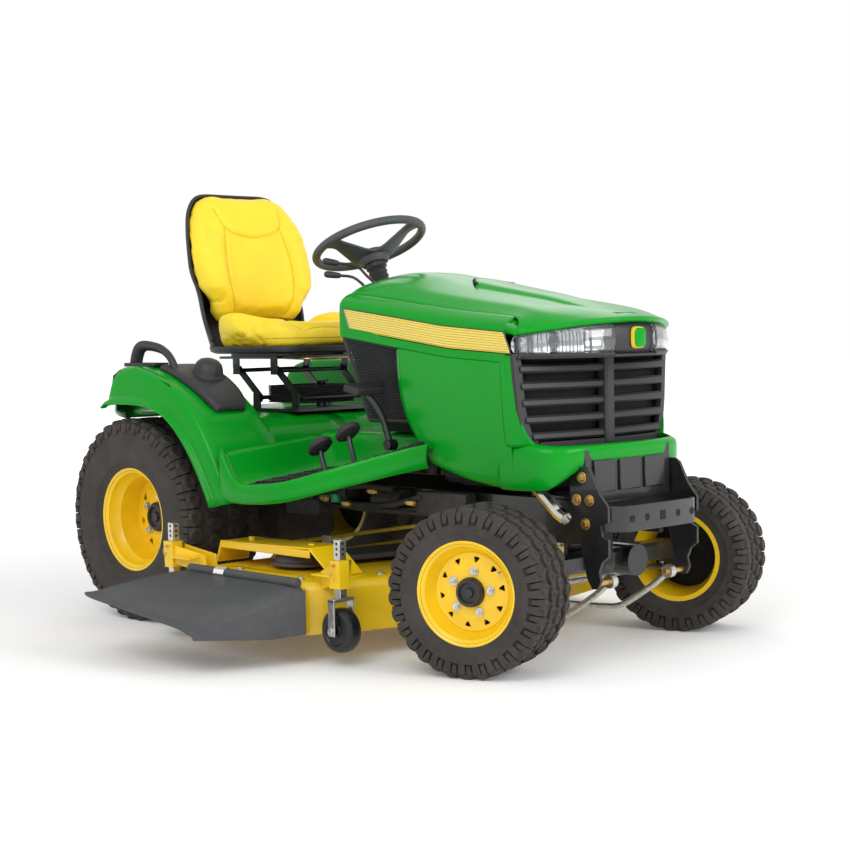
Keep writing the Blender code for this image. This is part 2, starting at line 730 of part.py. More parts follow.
def make_lamps():
    """A clear headlamp on each side of the badge housing."""
    lamps = []
    for side_name, sign in SIDES:
        count = 6
        inner, outer = 0.0486, OPENING_HALF - 0.002
        run = [inner + (outer - inner) * k / (count - 1) for k in range(count)]
        front = [(sign * x, HOOD_NOSE + 0.015 + 0.125 * (x / outer) ** 1.5) for x in run]
        back = [(x, y + 0.050) for x, y in front]
        outline = front + list(reversed(back))
        lamps.append(flat_piece(f"headlight_{side_name}", outline, 0.904 - 0.8426, LENS, "Z",
                                (0, 0, (0.904 + 0.8426) / 2)))
    return lamps


FENDER_PATH = [(0.330, 0.640), (0.325, 0.740), (0.290, 0.805), (0.200, 0.824), (0.020, 0.826),
               (-0.120, 0.812), (-0.240, 0.778), (-0.340, 0.722), (-0.420, 0.640),
               (-0.490, 0.530), (-0.545, 0.415)]
LIP_PATH = [(0.080, 0.690), (0.072, 0.696), (0.058, 0.700), (0.030, 0.702), (-0.040, 0.702),
            (-0.120, 0.702), (-0.215, 0.690), (-0.290, 0.650), (-0.365, 0.580), (-0.430, 0.490),
            (-0.480, 0.400)]  # lower edge of a fender's outer face
CORNER_START = -0.120  # behind here the fender's plan rounds in towards the seat
DECK_PATH = [(0.330, 0.640), (0.325, 0.655), (0.290, SEAT_DECK_Z), (0.200, SEAT_DECK_Z),
             (0.020, SEAT_DECK_Z), (-0.120, SEAT_DECK_Z), (-0.240, SEAT_DECK_Z),
             (-0.355, SEAT_DECK_Z - 0.004), (-0.420, 0.630), (-0.450, 0.560), (-0.455, 0.520)]


def inward(path, index, distance):
    """A path's point moved square to the path, towards the wheel under it."""
    before, after = path[max(index - 1, 0)], path[min(index + 1, len(path) - 1)]
    run = Vector((after[0] - before[0], after[1] - before[1])).normalized()
    return (path[index][0] - run.y * distance, path[index][1] + run.x * distance)


def fender_columns():
    """The fender deck's columns from the right lip to the left one, as lists of points."""
    count = len(FENDER_PATH)

    def column(half, depth, path=FENDER_PATH, reach=1.0):
        points = []
        for i in range(count):
            y, z = inward(path, i, depth)
            if y > CORNER_START:
                y = CORNER_START + (y - CORNER_START) * reach
                z += (0.10 * (1 - reach)) * max(0.0, (0.76 - z) / 0.12)
            points.append((half, y, z))
        return points

    def face(half, share):
        crest = column(half, 0.004, reach=0.39)
        return [(half, y0 + (y - y0) * share, z0 + (z - z0) * share)
                for (y0, z0), (_, y, z) in zip(LIP_PATH, crest)]

    half = [
        face(FENDER_HALF, 0.0),
        face(FENDER_HALF - 0.010, 0.25),
        face(FENDER_HALF - 0.032, 0.75),
        face(FENDER_HALF - 0.046, 1.0),
        column(FENDER_HALF - 0.070, 0.0, reach=0.49),
        column(0.490, 0.0, reach=0.73),
        column(0.420, 0.0, reach=0.90),
        column(SEAT_DECK_HALF + 0.015, 0.006),
        column(SEAT_DECK_HALF, 0.0, path=DECK_PATH),
    ]
    right = [[(-x, y, z) for x, y, z in points] for points in half]
    return right + [list(points) for points in reversed(half)]


def make_fenders():
    """One moulding: both fenders, the seat deck between them and the aprons in front."""
    fenders = skin("fender_deck", fender_columns(), FENDER_T, GREEN)
    if sum(face.normal.z * face.area for face in fenders.data.polygons if face.center.z > 0.7) < 0:
        fenders.data.flip_normals()
    pivot("fenders", (0, 0, SEAT_DECK_Z), face_out(fenders))


FOOT_STOPS = [-1.085, -1.060, -0.980, -0.880, -0.800, -0.575]


def foot_half(y):
    return between([(-1.130, 0.330), (-1.060, 0.400), (-0.980, 0.480), (-0.880, 0.560),
                    (-0.800, FOOT_HALF), (-0.575, FOOT_HALF)], y)


def foot_z(y):
    return between([(-1.130, FOOT_Z + 0.135), (-0.980, FOOT_Z + 0.078), (-0.800, FOOT_Z + 0.016),
                    (-0.575, FOOT_Z)], y)


def make_footboard():
    """The floor on both sides with its turned-down edge, and the tunnel that joins them."""
    rows = []
    for y in FOOT_STOPS:
        width, top = foot_half(y), foot_z(y)
        crown = max(TUNNEL_TOP, top + 0.012)
        edge = 0.052 if y > -1.0 else 0.066
        half = [
            (width, y, top - edge), (width - 0.004, y, top), (width - 0.018, y, top + 0.002),
            (width - 0.026, y, top - 0.008), (TUNNEL_HALF + 0.020, y, top - 0.008),
            (TUNNEL_HALF, y, crown - 0.006), (TUNNEL_HALF - 0.02, y, crown),
        ]
        right = [(-x, yy, z) for x, yy, z in half]
        rows.append(right + list(reversed(half)))
    board = skin("footboard", rows, FENDER_T, GREEN)
    bay = block("bay", (-0.266, -1.200, 0.300), (0.266, -0.985, 0.800), GREEN)
    cut(face_out(board), bay)
    pivot("footboard", (0, -0.850, FOOT_Z), board)


def make_consoles():
    """A black panel on each fender, with a domed cap and the grab handle over the wheel."""
    stops = FENDER_PATH[5:9]
    for side_name, sign in SIDES:
        lower, upper = [], []
        for i, (y, z) in enumerate(stops):
            index = i + 5
            low = inward(FENDER_PATH, index, -0.0012)
            top = inward(FENDER_PATH, index, -0.018)
            wide = 0.060 if i in (0, len(stops) - 1) else 0.078
            lower.append([(0.455 - wide, *low), (0.455 + wide, *low)])
            upper.append([(0.455 - wide + 0.008, *top), (0.455 + wide - 0.008, *top)])
        sections = []
        for low, top in zip(lower, upper):
            section = [low[0], low[1], top[1], top[0]]
            sections.append([(sign * x, y, z) for x, y, z in section])
        panel = loft(f"console_{side_name}", sections, GREY_PLASTIC)
        spot = Vector((sign * 0.440, -0.243, 0.786))
        cap = rod("cap", spot, spot + Vector((0, -0.020, 0.050)), 0.042, GREY_PLASTIC, 20, 0.032)
        fuse(panel, cap)
        grip = [(0.500, 0.060, 0.832), (0.500, 0.045, 0.868), (0.500, 0.025, 0.896),
                (0.500, -0.010, 0.906), (0.500, -0.070, 0.898), (0.500, -0.125, 0.880),
                (0.500, -0.160, 0.850), (0.500, -0.180, 0.812)]
        fuse(panel, bent_tube("grip", [(sign * x, y, z) for x, y, z in grip], 0.012,
                              GREY_PLASTIC))
        pivot(f"console_{side_name}", (sign * 0.455, 0.0, 0.830), panel)


def make_dash():
    """The tower behind the engine that carries the panel, the column and the side screens."""
    base = foot_z(-0.980) + 0.070
    sections = []
    for half, rear, front, z in (
        (0.170, -0.790, -0.960, max(base, TUNNEL_TOP + 0.012)), (0.200, -0.760, -0.965, 0.700),
        (0.275, -0.745, -0.975, 0.860), (0.278, -0.742, -0.980, 0.895),
    ):
        sections.append([(-half, rear, z), (half, rear, z), (half, front, z), (-half, front, z)])
    tower = loft("dash_tower", sections, BLACK_PLASTIC)
    panel = []
    for half, rear, front, z in ((0.235, -0.690, -0.900, 0.885), (0.225, -0.655, -0.900, 0.960),
                                 (0.190, -0.655, -0.860, 1.010), (0.130, -0.680, -0.840, 1.040)):
        panel.append([(-half, rear, z), (half, rear, z), (half, front, z), (-half, front, z)])
    fuse(tower, loft("panel", panel, BLACK_PLASTIC))
    axis = column_axis()
    foot = Vector(STEERING_CENTRE) - axis * 0.300
    top = Vector(STEERING_CENTRE) - axis * COLUMN_FOOT
    fuse(tower, rod("stub", foot, top - axis * 0.006, 0.034, BLACK_PLASTIC))
    pivot("dash", (0, -0.800, 0.700), tower)


# ---- Steering -----------------------------------------------------------------------------
COLUMN_FOOT = 0.205


def column_axis():
    """Unit vector up the steering column, towards the driver."""
    return Vector((0, math.sin(WHEEL_TILT), math.cos(WHEEL_TILT)))


def make_steering():
    """The tilting column head and the dished wheel with three spokes."""
    axis = column_axis()
    centre = Vector(STEERING_CENTRE)
    foot = centre - axis * COLUMN_FOOT
    head = rod("steering_column", foot, centre - axis * (STEERING_DISH + 0.022), 0.026,
               BLACK_PLASTIC, 16, 0.034)
    pivot("column", foot, head)

    turn = axis.to_track_quat("Z", "X").to_matrix().to_4x4()
    work = bmesh.new()
    around, tube = 24, 6
    rings = []
    for i in range(around):
        angle = 2 * math.pi * i / around
        ring = []
        for j in range(tube):
            part = 2 * math.pi * j / tube
            radius = STEERING_R - STEERING_RIM_T + STEERING_RIM_T * math.cos(part)
            ring.append(work.verts.new((radius * math.cos(angle), radius * math.sin(angle),
                                        STEERING_RIM_T * math.sin(part))))
        rings.append(ring)
    for i in range(around):
        for j in range(tube):
            k, m = (i + 1) % around, (j + 1) % tube
            work.faces.new((rings[i][j], rings[k][j], rings[k][m], rings[i][m]))
    bmesh.ops.recalc_face_normals(work, faces=work.faces)
    wheel_rim = mesh_object("steering_wheel", work, GREY_PLASTIC)
    hub = rod("hub", (0, 0, -STEERING_DISH - 0.020), (0, 0, -STEERING_DISH + 0.022), 0.036,
              GREY_PLASTIC, 20)
    fuse(wheel_rim, hub)
    for degrees in (-90, 25, 155):
        angle = math.radians(degrees)
        out = Vector((math.cos(angle), math.sin(angle), 0))
        side = Vector((-out.y, out.x, 0))
        outer = out * (STEERING_R - STEERING_RIM_T)
        inner = out * 0.020 + Vector((0, 0, -STEERING_DISH))
        spoke = loft("spoke", [
            [inner + side * 0.030 + Vector((0, 0, -0.010)), inner - side * 0.030 + Vector((0, 0, -0.010)),
             inner - side * 0.030 + Vector((0, 0, 0.010)), inner + side * 0.030 + Vector((0, 0, 0.010))],
            [outer + side * 0.018 + Vector((0, 0, -0.006)), outer - side * 0.018 + Vector((0, 0, -0.006)),
             outer - side * 0.018 + Vector((0, 0, 0.006)), outer + side * 0.018 + Vector((0, 0, 0.006))],
        ], GREY_PLASTIC)
        fuse(wheel_rim, spoke)
    moved(wheel_rim, Matrix.Translation(centre) @ turn)
    smooth(wheel_rim)
    pivot("steering_wheel", centre, wheel_rim)


def make_front_axle():
    """The beam that rocks on the frame's pin, and a knuckle on a king pin at each end."""
    half = KINGPIN_X - 0.034
    y, z = -WHEELBASE, AXLE_PIVOT_Z
    beam = block("front_axle", (-half, y - AXLE_BEAM_W / 2, z - 0.028),
                 (half, y + AXLE_BEAM_W / 2, z + 0.028), BLACK_PAINT, 0.010)
    fuse(beam, rod("diff", (0.150, y - 0.060, z - 0.010), (0.150, y + 0.030, z - 0.010), 0.046,
                   BLACK_PAINT, 20))
    cut(beam, rod("bore", (0, y - 0.1, z), (0, y + 0.1, z), AXLE_PIN_R + FIT, BLACK_PAINT))
    for sign in (-1, 1):
        for end in (-1, 1):
            lug_z = FRONT_TYRE_R + end * 0.046
            lug = block("lug", (min(sign * (half - 0.02), sign * (KINGPIN_X + 0.018)), y - 0.020,
                                lug_z - 0.008),
                        (max(sign * (half - 0.02), sign * (KINGPIN_X + 0.018)), y + 0.020,
                         lug_z + 0.008), BLACK_PAINT)
            web = block("web", (min(sign * (half - 0.03), sign * (half - 0.008)), y - 0.020,
                                min(z, lug_z)),
                        (max(sign * (half - 0.03), sign * (half - 0.008)), y + 0.020,
                         max(z, lug_z)), BLACK_PAINT)
            fuse(lug, web)
            fuse(beam, lug)
    pivot("front_axle", (0, y, z), beam)


KINGPINS = {}
ARM_BACK = 0.058  # both arms point straight back, so they and the tie rod stay parallel


def make_knuckles():
    """Each knuckle: the post between the beam's lugs, the wheel spindle and the steering arm."""
    for side_name, sign in SIDES:
        pin = empty(f"axis_knuckle_{side_name}",
                    (sign * KINGPIN_X, -WHEELBASE, FRONT_TYRE_R), ROOT, (0, 0, STEER_REST))
        KINGPINS[side_name] = pin
        arm_z = -0.018
        post = rod(f"knuckle_{side_name}", (0, 0, -0.0372), (0, 0, 0.0372), 0.020,
                   CAST_METAL)
        hub_end = KINGPIN_TO_FLANGE - 0.040 - 0.005 - GAP
        fuse(post, rod("spindle", (0, 0, 0), (sign * (hub_end + 0.020), 0, 0), 0.015, CAST_METAL))
        fuse(post, rod("flange", (sign * (hub_end - 0.012), 0, 0), (sign * hub_end, 0, 0), 0.050,
                       CAST_METAL, 20))
        arm = flat_piece("arm", [(-0.012, 0.0), (0.012, 0.0), (0.012, ARM_BACK + 0.012),
                                 (-0.012, ARM_BACK + 0.012)],
                         0.010, CAST_METAL, "Z", (0, 0, arm_z))
        fuse(post, arm)
        post.parent = pin


def arm_end(sign):
    """Where a steering arm ends, about the rear axle, with the wheels at rest."""
    local = Vector((0, ARM_BACK, 0))
    turn = Matrix.Rotation(STEER_REST, 4, "Z")
    return turn @ local + Vector((sign * KINGPIN_X, -WHEELBASE, FRONT_TYRE_R))


def make_tie_rod():
    """The rod between the two steering arms, with a ball joint over each."""
    right, left = arm_end(-1), arm_end(1)
    lift = Vector((0, 0, -0.036))
    bar = rod("tie_rod", right + lift, left + lift, 0.009, ZINC, 12)
    for end in (right, left):
        fuse(bar, rod("ball", end + Vector((0, 0, -0.048)), end + Vector((0, 0, -0.0236)), 0.013,
                      ZINC, 16))
    pivot("tie_rod", right, bar)


# ---- Seat ---------------------------------------------------------------------------------
def arm_top(base_y, base_z):
    return (base_y + ARM_LENGTH * math.cos(ARM_RAKE), base_z + ARM_LENGTH * math.sin(ARM_RAKE))


def make_seat_base():
    """The seat's suspension: the base on the fender deck, two pairs of arms and the frame."""
    y0, z0 = ARM_BASE
    floor = SEAT_DECK_Z + GAP
    base = block("seat_base", (-0.180, y0 - 0.025, floor), (0.180, y0 + ARM_SPACING + 0.030,
                                                          floor + 0.010), BLACK_PAINT)
    for y in (y0, y0 + ARM_SPACING):
        for sign in (-1, 1):
            near, far = sorted((sign * (ARM_X + 0.012), sign * (ARM_X + 0.020)))
            fuse(base, block("ear", (near, y - 0.016, floor + 0.005), (far, y + 0.016, z0 + 0.014),
                             BLACK_PAINT))
    pivot("seat_base", (0, y0, floor), base)

    for place_name, y in (("front", y0), ("rear", y0 + ARM_SPACING)):
        top_y, top_z = arm_top(y, z0)
        arms = rod(f"suspension_arms_{place_name}", (-ARM_X - 0.0105, y, z0),
                   (ARM_X + 0.0105, y, z0), 0.007, BLACK_PAINT, 12)
        fuse(arms, rod("upper", (-ARM_X - 0.0105, top_y, top_z), (ARM_X + 0.0105, top_y, top_z),
                       0.007, BLACK_PAINT, 12))
        for sign in (-1, 1):
            near, far = sorted((sign * (ARM_X - 0.004), sign * (ARM_X + 0.004)))
            link = block("link", (near, -0.011, -0.011), (far, ARM_LENGTH + 0.011, 0.011),
                         BLACK_PAINT)
            moved(link, Matrix.Translation((0, y, z0)) @ Matrix.Rotation(ARM_RAKE, 4, "X"))
            fuse(arms, link)
        pivot(f"suspension_{place_name}", (0, y, z0), arms)

    top_y, top_z = arm_top(y0, z0)
    deck_z = SEAT_LOW - 0.034
    frame = block("seat_frame", (-0.180, top_y - 0.045, deck_z), (0.180, top_y + ARM_SPACING + 0.060,
                                                                deck_z + 0.008), BLACK_PAINT)
    for y in (top_y, top_y + ARM_SPACING):
        for sign in (-1, 1):
            near, far = sorted((sign * (ARM_X + 0.012), sign * (ARM_X + 0.020)))
            fuse(frame, block("ear", (near, y - 0.014, top_z - 0.013), (far, y + 0.014,
                                                                      deck_z + 0.004), BLACK_PAINT))
    for sign in (-1, 1):
        near, far = sorted((sign * 0.110, sign * 0.130))
        fuse(frame, block("rail", (near, top_y - 0.045, deck_z + 0.004),
                          (far, top_y + ARM_SPACING + 0.060, deck_z + 0.016), BLACK_PAINT))
    pivot("seat_frame", (0, top_y, top_z), frame)


def back_y(z):
    """How far back the backrest's front face leans at a height."""
    return between([(0.94, -0.010), (1.10, 0.010), (1.25, 0.045), (BACK_TOP, 0.100)], z)


def make_seat():
    """The black shell under and behind, the base cushion and the back cushion."""
    pan_low = SEAT_LOW - 0.034 + 0.016 + GAP
    pan = block("seat_shell", (-0.235, SEAT_FRONT + 0.030, pan_low), (0.235, SEAT_REAR + 0.085,
                                                                     SEAT_LOW - GAP), BLACK_PLASTIC)
    rows = []
    for z, half, thick in ((SEAT_LOW - 0.010, 0.215, 0.0), (0.960, 0.232, 0.012),
                           (1.100, 0.243, 0.020), (1.250, 0.238, 0.020), (1.350, 0.205, 0.016),
                           (BACK_TOP - 0.006, 0.130, 0.0)):
        y = back_y(z) + 0.105
        rows.append([(-half, y - 0.045, z), (-half + 0.012, y + thick * 0.6, z),
                     (-half * 0.5, y + thick + 0.018, z), (half * 0.5, y + thick + 0.018, z),
                     (half - 0.012, y + thick * 0.6, z), (half, y - 0.045, z)])
    back = skin("back", rows, 0.010, BLACK_PLASTIC)
    fuse(pan, face_out(back))

    cushion = block("seat_cushion", (-SEAT_HALF, SEAT_FRONT, SEAT_LOW),
                    (SEAT_HALF, SEAT_REAR - 0.020, SEAT_TOP), VINYL, 0.030, 2)
    sections = []
    for z, half, thick in ((0.975, 0.150, 0.070), (1.030, 0.190, 0.085), (1.100, 0.216, 0.085),
                           (1.250, 0.222, 0.080), (1.340, 0.195, 0.075), (1.392, 0.150, 0.060),
                           (BACK_TOP - 0.010, 0.095, 0.040)):
        y = back_y(z)
        sections.append([(-half, y + 0.012, z), (-half * 0.8, y, z), (half * 0.8, y, z),
                         (half, y + 0.012, z), (half, y + thick * 0.6, z),
                         (half * 0.85, y + thick, z), (-half * 0.85, y + thick, z),
                         (-half, y + thick * 0.6, z)])
    backrest = loft("backrest_cushion", sections, VINYL)
    pivot("seat", (0, SEAT_REAR, SEAT_LOW), pan, cushion, backrest)


# ---- Controls -----------------------------------------------------------------------------
def make_levers():
    """Two bent levers with round grips to the right of the column, and the blade switch knob."""
    for name, foot, elbow, knee, tip in (
        ("lift_lever", (-0.050, -0.640, 1.062), (-0.085, -0.625, 1.095), (-0.110, -0.600, 1.128),
         (-0.165, -0.560, 1.140)),
        ("auxiliary_lever", (-0.095, -0.640, 1.050), (-0.118, -0.628, 1.076),
         (-0.135, -0.606, 1.094), (-0.172, -0.575, 1.100)),
    ):
        lever = bent_tube(name, [foot, elbow, knee, tip], 0.0045, BLACK_PLASTIC)
        run = (Vector(tip) - Vector(knee)).normalized()
        fuse(lever, rod("grip", Vector(tip) - run * 0.012, Vector(tip) + run * 0.040, 0.0095,
                        BLACK_PLASTIC, 12))
        pivot(name, foot, lever)
    face = Vector((-0.150, -0.648, 0.985))
    out = Vector((0, 0.96, 0.28)).normalized()
    knob = rod("pto_knob", face + out * (GAP + 0.001), face + out * 0.022, 0.009, YELLOW, 12)
    fuse(knob, rod("cap", face + out * 0.018, face + out * 0.036, 0.020, YELLOW, 16, 0.017))
    pivot("pto_knob", face, knob)


def pedal(name, foot, elbow, pad, size, arm, tilt):
    """A pedal: an arm from its pin to a rounded pad, tipped towards the driver."""
    lever = bent_tube(name, [foot, elbow, pad], arm, BLACK_PLASTIC)
    block_pad = block("pad", [-v / 2 for v in size], [v / 2 for v in size], BLACK_PLASTIC, 0.006)
    moved(block_pad, Matrix.Translation(pad) @ Matrix.Rotation(tilt, 4, "X"))
    fuse(lever, block_pad)
    pivot(name, foot, lever)


def make_pedals():
    pedal("forward_pedal", (-0.405, -0.905, 0.532), (-0.405, -0.890, 0.580),
          (-0.400, -0.868, 0.632), (0.055, 0.022, 0.062), 0.008, math.radians(-28))
    pedal("reverse_pedal", (-0.425, -0.800, 0.500), (-0.425, -0.782, 0.545),
          (-0.420, -0.765, 0.588), (0.050, 0.022, 0.050), 0.008, math.radians(-28))
    pedal("brake_pedal", (-0.318, -0.965, 0.590), (-0.322, -0.930, 0.680),
          (-0.345, -0.885, 0.752), (0.105, 0.060, 0.026), 0.010, math.radians(12))


# ---- Mower deck ---------------------------------------------------------------------------
def deck_outline(inset):
    """The deck's plan, whose front follows the three staggered blades."""
    points = [(-0.685, -0.440), (-0.685, -0.960), (-0.560, -1.040), (-0.330, -1.095),
              (-0.160, -1.165), (0.160, -1.165), (0.330, -1.095), (0.560, -1.040),
              (0.685, -0.930), (0.685, -0.520), (0.600, -0.430), (-0.600, -0.430)]
    centre = Vector((0, -0.780))
    result = []
    for x, y in points:
        x *= DECK_HALF / 0.685
        spot = Vector((x, y)) - centre
        result.append(tuple(centre + spot - Vector((math.copysign(inset, spot.x),
                                                    math.copysign(inset, spot.y)))))
    return result


def spindle_spots():
    return {"right": (-SPINDLE_X, SPINDLE_Y), "centre": (0.0, SPINDLE_Y - SPINDLE_STAGGER),
            "left": (SPINDLE_X, SPINDLE_Y)}


def make_deck():
    """The pressed shell with its chute opening, spindle seats and gauge wheel arms."""
    height = DECK_TOP - DECK_LOW
    deck = flat_piece("deck_shell", deck_outline(0.0), height, YELLOW, "Z",
                      (0, 0, (DECK_TOP + DECK_LOW) / 2))
    hollow = flat_piece("hollow", deck_outline(DECK_T), height, YELLOW, "Z",
                        (0, 0, (DECK_TOP + DECK_LOW) / 2 - DECK_T))
    cut(deck, hollow)
    cut(deck, block("mouth", (-DECK_HALF - 0.05, CHUTE_FRONT + 0.080, DECK_LOW - 0.02),
                    (-DECK_HALF + 0.05, CHUTE_REAR - 0.030, DECK_TOP - 0.022), YELLOW))
    for x, y in spindle_spots().values():
        fuse(deck, rod("seat", (x, y, DECK_TOP - 0.004), (x, y, DECK_TOP + 0.022), 0.050, YELLOW,
                       12, 0.038))
        cut(deck, rod("bore", (x, y, DECK_TOP - 0.03), (x, y, DECK_TOP + 0.05),
                      SPINDLE_R + FIT, YELLOW))
    for name, (x, y) in GAUGE_SPOTS.items():
        sign = math.copysign(1, x)
        front = name.startswith("front")
        inner_y = -1.000 if front else -0.470
        inner = Vector((sign * (DECK_HALF - 0.085), inner_y, DECK_TOP + 0.004))
        outer = Vector((x, y, 0.262))
        half = Vector((0.022, 0, 0))
        rise = Vector((0, 0, 0.038 if front else 0.030))
        arm = loft("arm", [
            [inner - half - rise, inner + half - rise, inner + half + rise * 0.6,
             inner - half + rise * 0.6],
            [outer - half - rise, outer + half - rise, outer + half + rise * 0.6,
             outer - half + rise * 0.6],
        ], YELLOW)
        fuse(deck, arm)
        box = STEM / 2 + FIT + 0.006
        sleeve = block("sleeve", (x - box, y - box, 0.215), (x + box, y + box, 0.292), YELLOW)
        fuse(deck, sleeve)
        hole = STEM / 2 + FIT
        cut(deck, block("socket", (x - hole, y - hole, 0.150), (x + hole, y + hole, 0.400),
                        YELLOW))
    for sign in (-1, 1):
        near, far = sorted((sign * 0.100, sign * 0.112))
        fuse(deck, block("hook", (near, -1.185, DECK_TOP - 0.02), (far, -1.150, DECK_TOP + 0.030),
                         YELLOW))
        near, far = sorted((sign * 0.250, sign * 0.262))
        fuse(deck, block("lift_ear", (near, -0.620, DECK_TOP - 0.004),
                         (far, -0.580, DECK_TOP + 0.070), YELLOW))
    return deck


def make_bridge():
    """The folded bracket that spans the belt cover from one side of the deck to the other."""
    low = DECK_TOP + GAP
    pieces = []
    for _, sign in SIDES:
        outline = [(-0.415, low), (-0.440, 0.290), (-0.860, 0.300), (-0.960, low), (-0.950, low),
                   (-0.855, 0.294), (-0.446, 0.284), (-0.427, low)]
        strap = flat_piece("strap", [(y, z) for y, z in outline], 0.120, YELLOW, "X",
                           (sign * 0.490, 0, 0))
        pieces.append(strap)
    bridge = pieces[0]
    bridge.name = "deck_bridge"
    fuse(bridge, block("beam", (-0.440, -0.446, 0.255), (0.440, -0.425, 0.261), YELLOW))
    fuse(bridge, pieces[1])
    return bridge


def make_belt_cover():
    """The belt guard on the deck: a dome over each outer spindle, joined by a low tray."""
    low = DECK_TOP + 0.024
    cover = None
    for sign in (-1, 1):
        dome = turned("belt_cover", [(0.0, 0.052), (0.060, 0.050), (0.085, 0.040), (0.096, 0.018),
                                     (0.098, 0.0), (0.094, 0.0), (0.092, 0.018),
                                     (0.082, 0.036), (0.058, 0.046), (0.0, 0.048)],
                      GREY_PLASTIC, 16, ring=False)
        moved(dome, Matrix.Translation((sign * SPINDLE_X, SPINDLE_Y, low - 0.010)))
        cover = fuse(cover, dome) if cover else dome
    tray = block("tray", (-SPINDLE_X + 0.080, SPINDLE_Y - 0.060, low + 0.004),
                 (SPINDLE_X - 0.080, SPINDLE_Y + 0.060, low + 0.010), GREY_PLASTIC)
    return fuse(cover, tray)


def make_blades():
    """Each blade with its spindle shaft and the pulley on top."""
    made = {}
    for side_name, (x, y) in spindle_spots().items():
        half = BLADE_LENGTH / 2
        bar = block(f"blade_{side_name}", (x - half, y - 0.030, BLADE_Z - 0.003),
                    (x + half, y + 0.030, BLADE_Z + 0.003), CAST_METAL)
        top = DECK_TOP + 0.030
        fuse(bar, rod("shaft", (x, y, BLADE_Z - 0.012), (x, y, top), SPINDLE_R, CAST_METAL))
        if side_name == "centre":
            fuse(bar, rod("pulley", (x, y, top - 0.004), (x, y, top + 0.016), 0.070, CAST_METAL,
                          24))
        made[side_name] = bar
        pivot(f"blade_{side_name}", (x, y, BLADE_Z), bar)


def make_chute():
    """The hinged discharge chute: a rolled edge, a sloping top and a deep front side."""
    hinge_x, hinge_z = CHUTE_HINGE
    length = CHUTE_REAR - CHUTE_FRONT
    outer_x = hinge_x - CHUTE_REACH
    outer_z = hinge_z - CHUTE_DROP
    top = []
    for y, sink in ((CHUTE_REAR, 0.0), (CHUTE_FRONT + 0.30 * length, 0.0),
                    (CHUTE_FRONT + 0.035, 0.0), (CHUTE_FRONT, 0.060)):
        lift = 0.052 * (y - CHUTE_FRONT) / length
        top.append([(hinge_x, y, hinge_z - sink), (hinge_x - 0.030, y, hinge_z - 0.004 - sink),
                    (outer_x + 0.020, y + 0.100 * (hinge_x - outer_x) / 0.33, outer_z + lift - sink * 0.6),
                    (outer_x, y + 0.105 * (hinge_x - outer_x) / 0.33, outer_z + lift - 0.010 - sink * 0.6)])
    chute = skin("chute", top, 0.005, GREY_PLASTIC)
    if sum(face.normal.z * face.area for face in chute.data.polygons) < 0:
        chute.data.flip_normals()
    face_out(chute)
    roll = rod("roll", (hinge_x, CHUTE_REAR, hinge_z), (hinge_x, CHUTE_FRONT + 0.035, hinge_z), 0.013,
               GREY_PLASTIC, 12)
    fuse(chute, roll)
    pivot("chute", (hinge_x, (CHUTE_REAR + CHUTE_FRONT) / 2, hinge_z), chute)


def make_gauge_wheels():
    """Four anti-scalp wheels in forks, whose square stems slide in the deck's sleeves."""
    for name, (x, y) in GAUGE_SPOTS.items():
        sign = math.copysign(1, x)
        stem = block(f"gauge_fork_{name}", (x - STEM / 2, y - STEM / 2, 0.185),
                     (x + STEM / 2, y + STEM / 2, 0.350), ZINC)
        crown = block("crown", (x - 0.038, y - 0.012, 0.178), (x + 0.038, y + 0.012, 0.188), ZINC)
        fuse(stem, crown)
        for end in (-1, 1):
            near, far = sorted((x + end * 0.032, x + end * 0.038))
            fuse(stem, block("leg", (near, y - 0.010, GAUGE_Z - 0.012), (far, y + 0.010, 0.184),
                             ZINC))
        fuse(stem, rod("axle", (x - 0.044, y, GAUGE_Z), (x + 0.044, y, GAUGE_Z), 0.006, ZINC, 12))
        half = GAUGE_W / 2
        bore = 0.006 + FIT
        tread = turned(f"gauge_wheel_{name}", [
            (GAUGE_R, 0.35 * half), (GAUGE_R * 0.85, half), (bore, half), (bore, -half),
            (GAUGE_R * 0.85, -half), (GAUGE_R, -0.35 * half)], WHEEL_RUBBER, 20)
        moved(tread, Matrix.Translation((x, y, GAUGE_Z)) @ Matrix.Rotation(math.pi / 2, 4, "Y"))
        pivot(f"gauge_fork_{name}", (x, y, 0.185), stem)
        pivot(f"gauge_wheel_{name}", (x, y, GAUGE_Z), tread)


def make_draft_rod():
    """The bent rod from the front brackets' lower eyes back to the deck."""
    y0, z0 = ROD_EYE
    half = [(ROD_X, y0, z0), (ROD_X, y0 + 0.055, z0 - 0.040), (ROD_X - 0.002, -1.470, 0.115),
            (ROD_X - 0.006, -1.330, 0.100), (0.110, -1.265, 0.100), (0.060, -1.245, 0.100)]
    path = [(-x, y, z) for x, y, z in half] + [(x, y, z) for x, y, z in reversed(half)]
    bar = bent_tube("draft_rod", path, ROD_R, ZINC, sides=1)
    for sign in (-1, 1):
        fuse(bar, rod("eye", (sign * ROD_X - 0.010, y0, z0), (sign * ROD_X + 0.010, y0, z0), 0.019,
                      ZINC, 16))
    pivot("draft_rod", (0, y0, z0), bar)


def centre_on_ground():
    """Moves the whole machine so that its outline's middle stands on the origin."""
    bpy.context.view_layer.update()
    corners = [obj.matrix_world @ vertex.co for obj in COLLECTION.objects if obj.type == "MESH"
               for vertex in obj.data.vertices]
    low = [min(corner[axis] for corner in corners) for axis in range(3)]
    high = [max(corner[axis] for corner in corners) for axis in range(3)]
    ROOT.location = (-(low[0] + high[0]) / 2, -(low[1] + high[1]) / 2, -low[2])


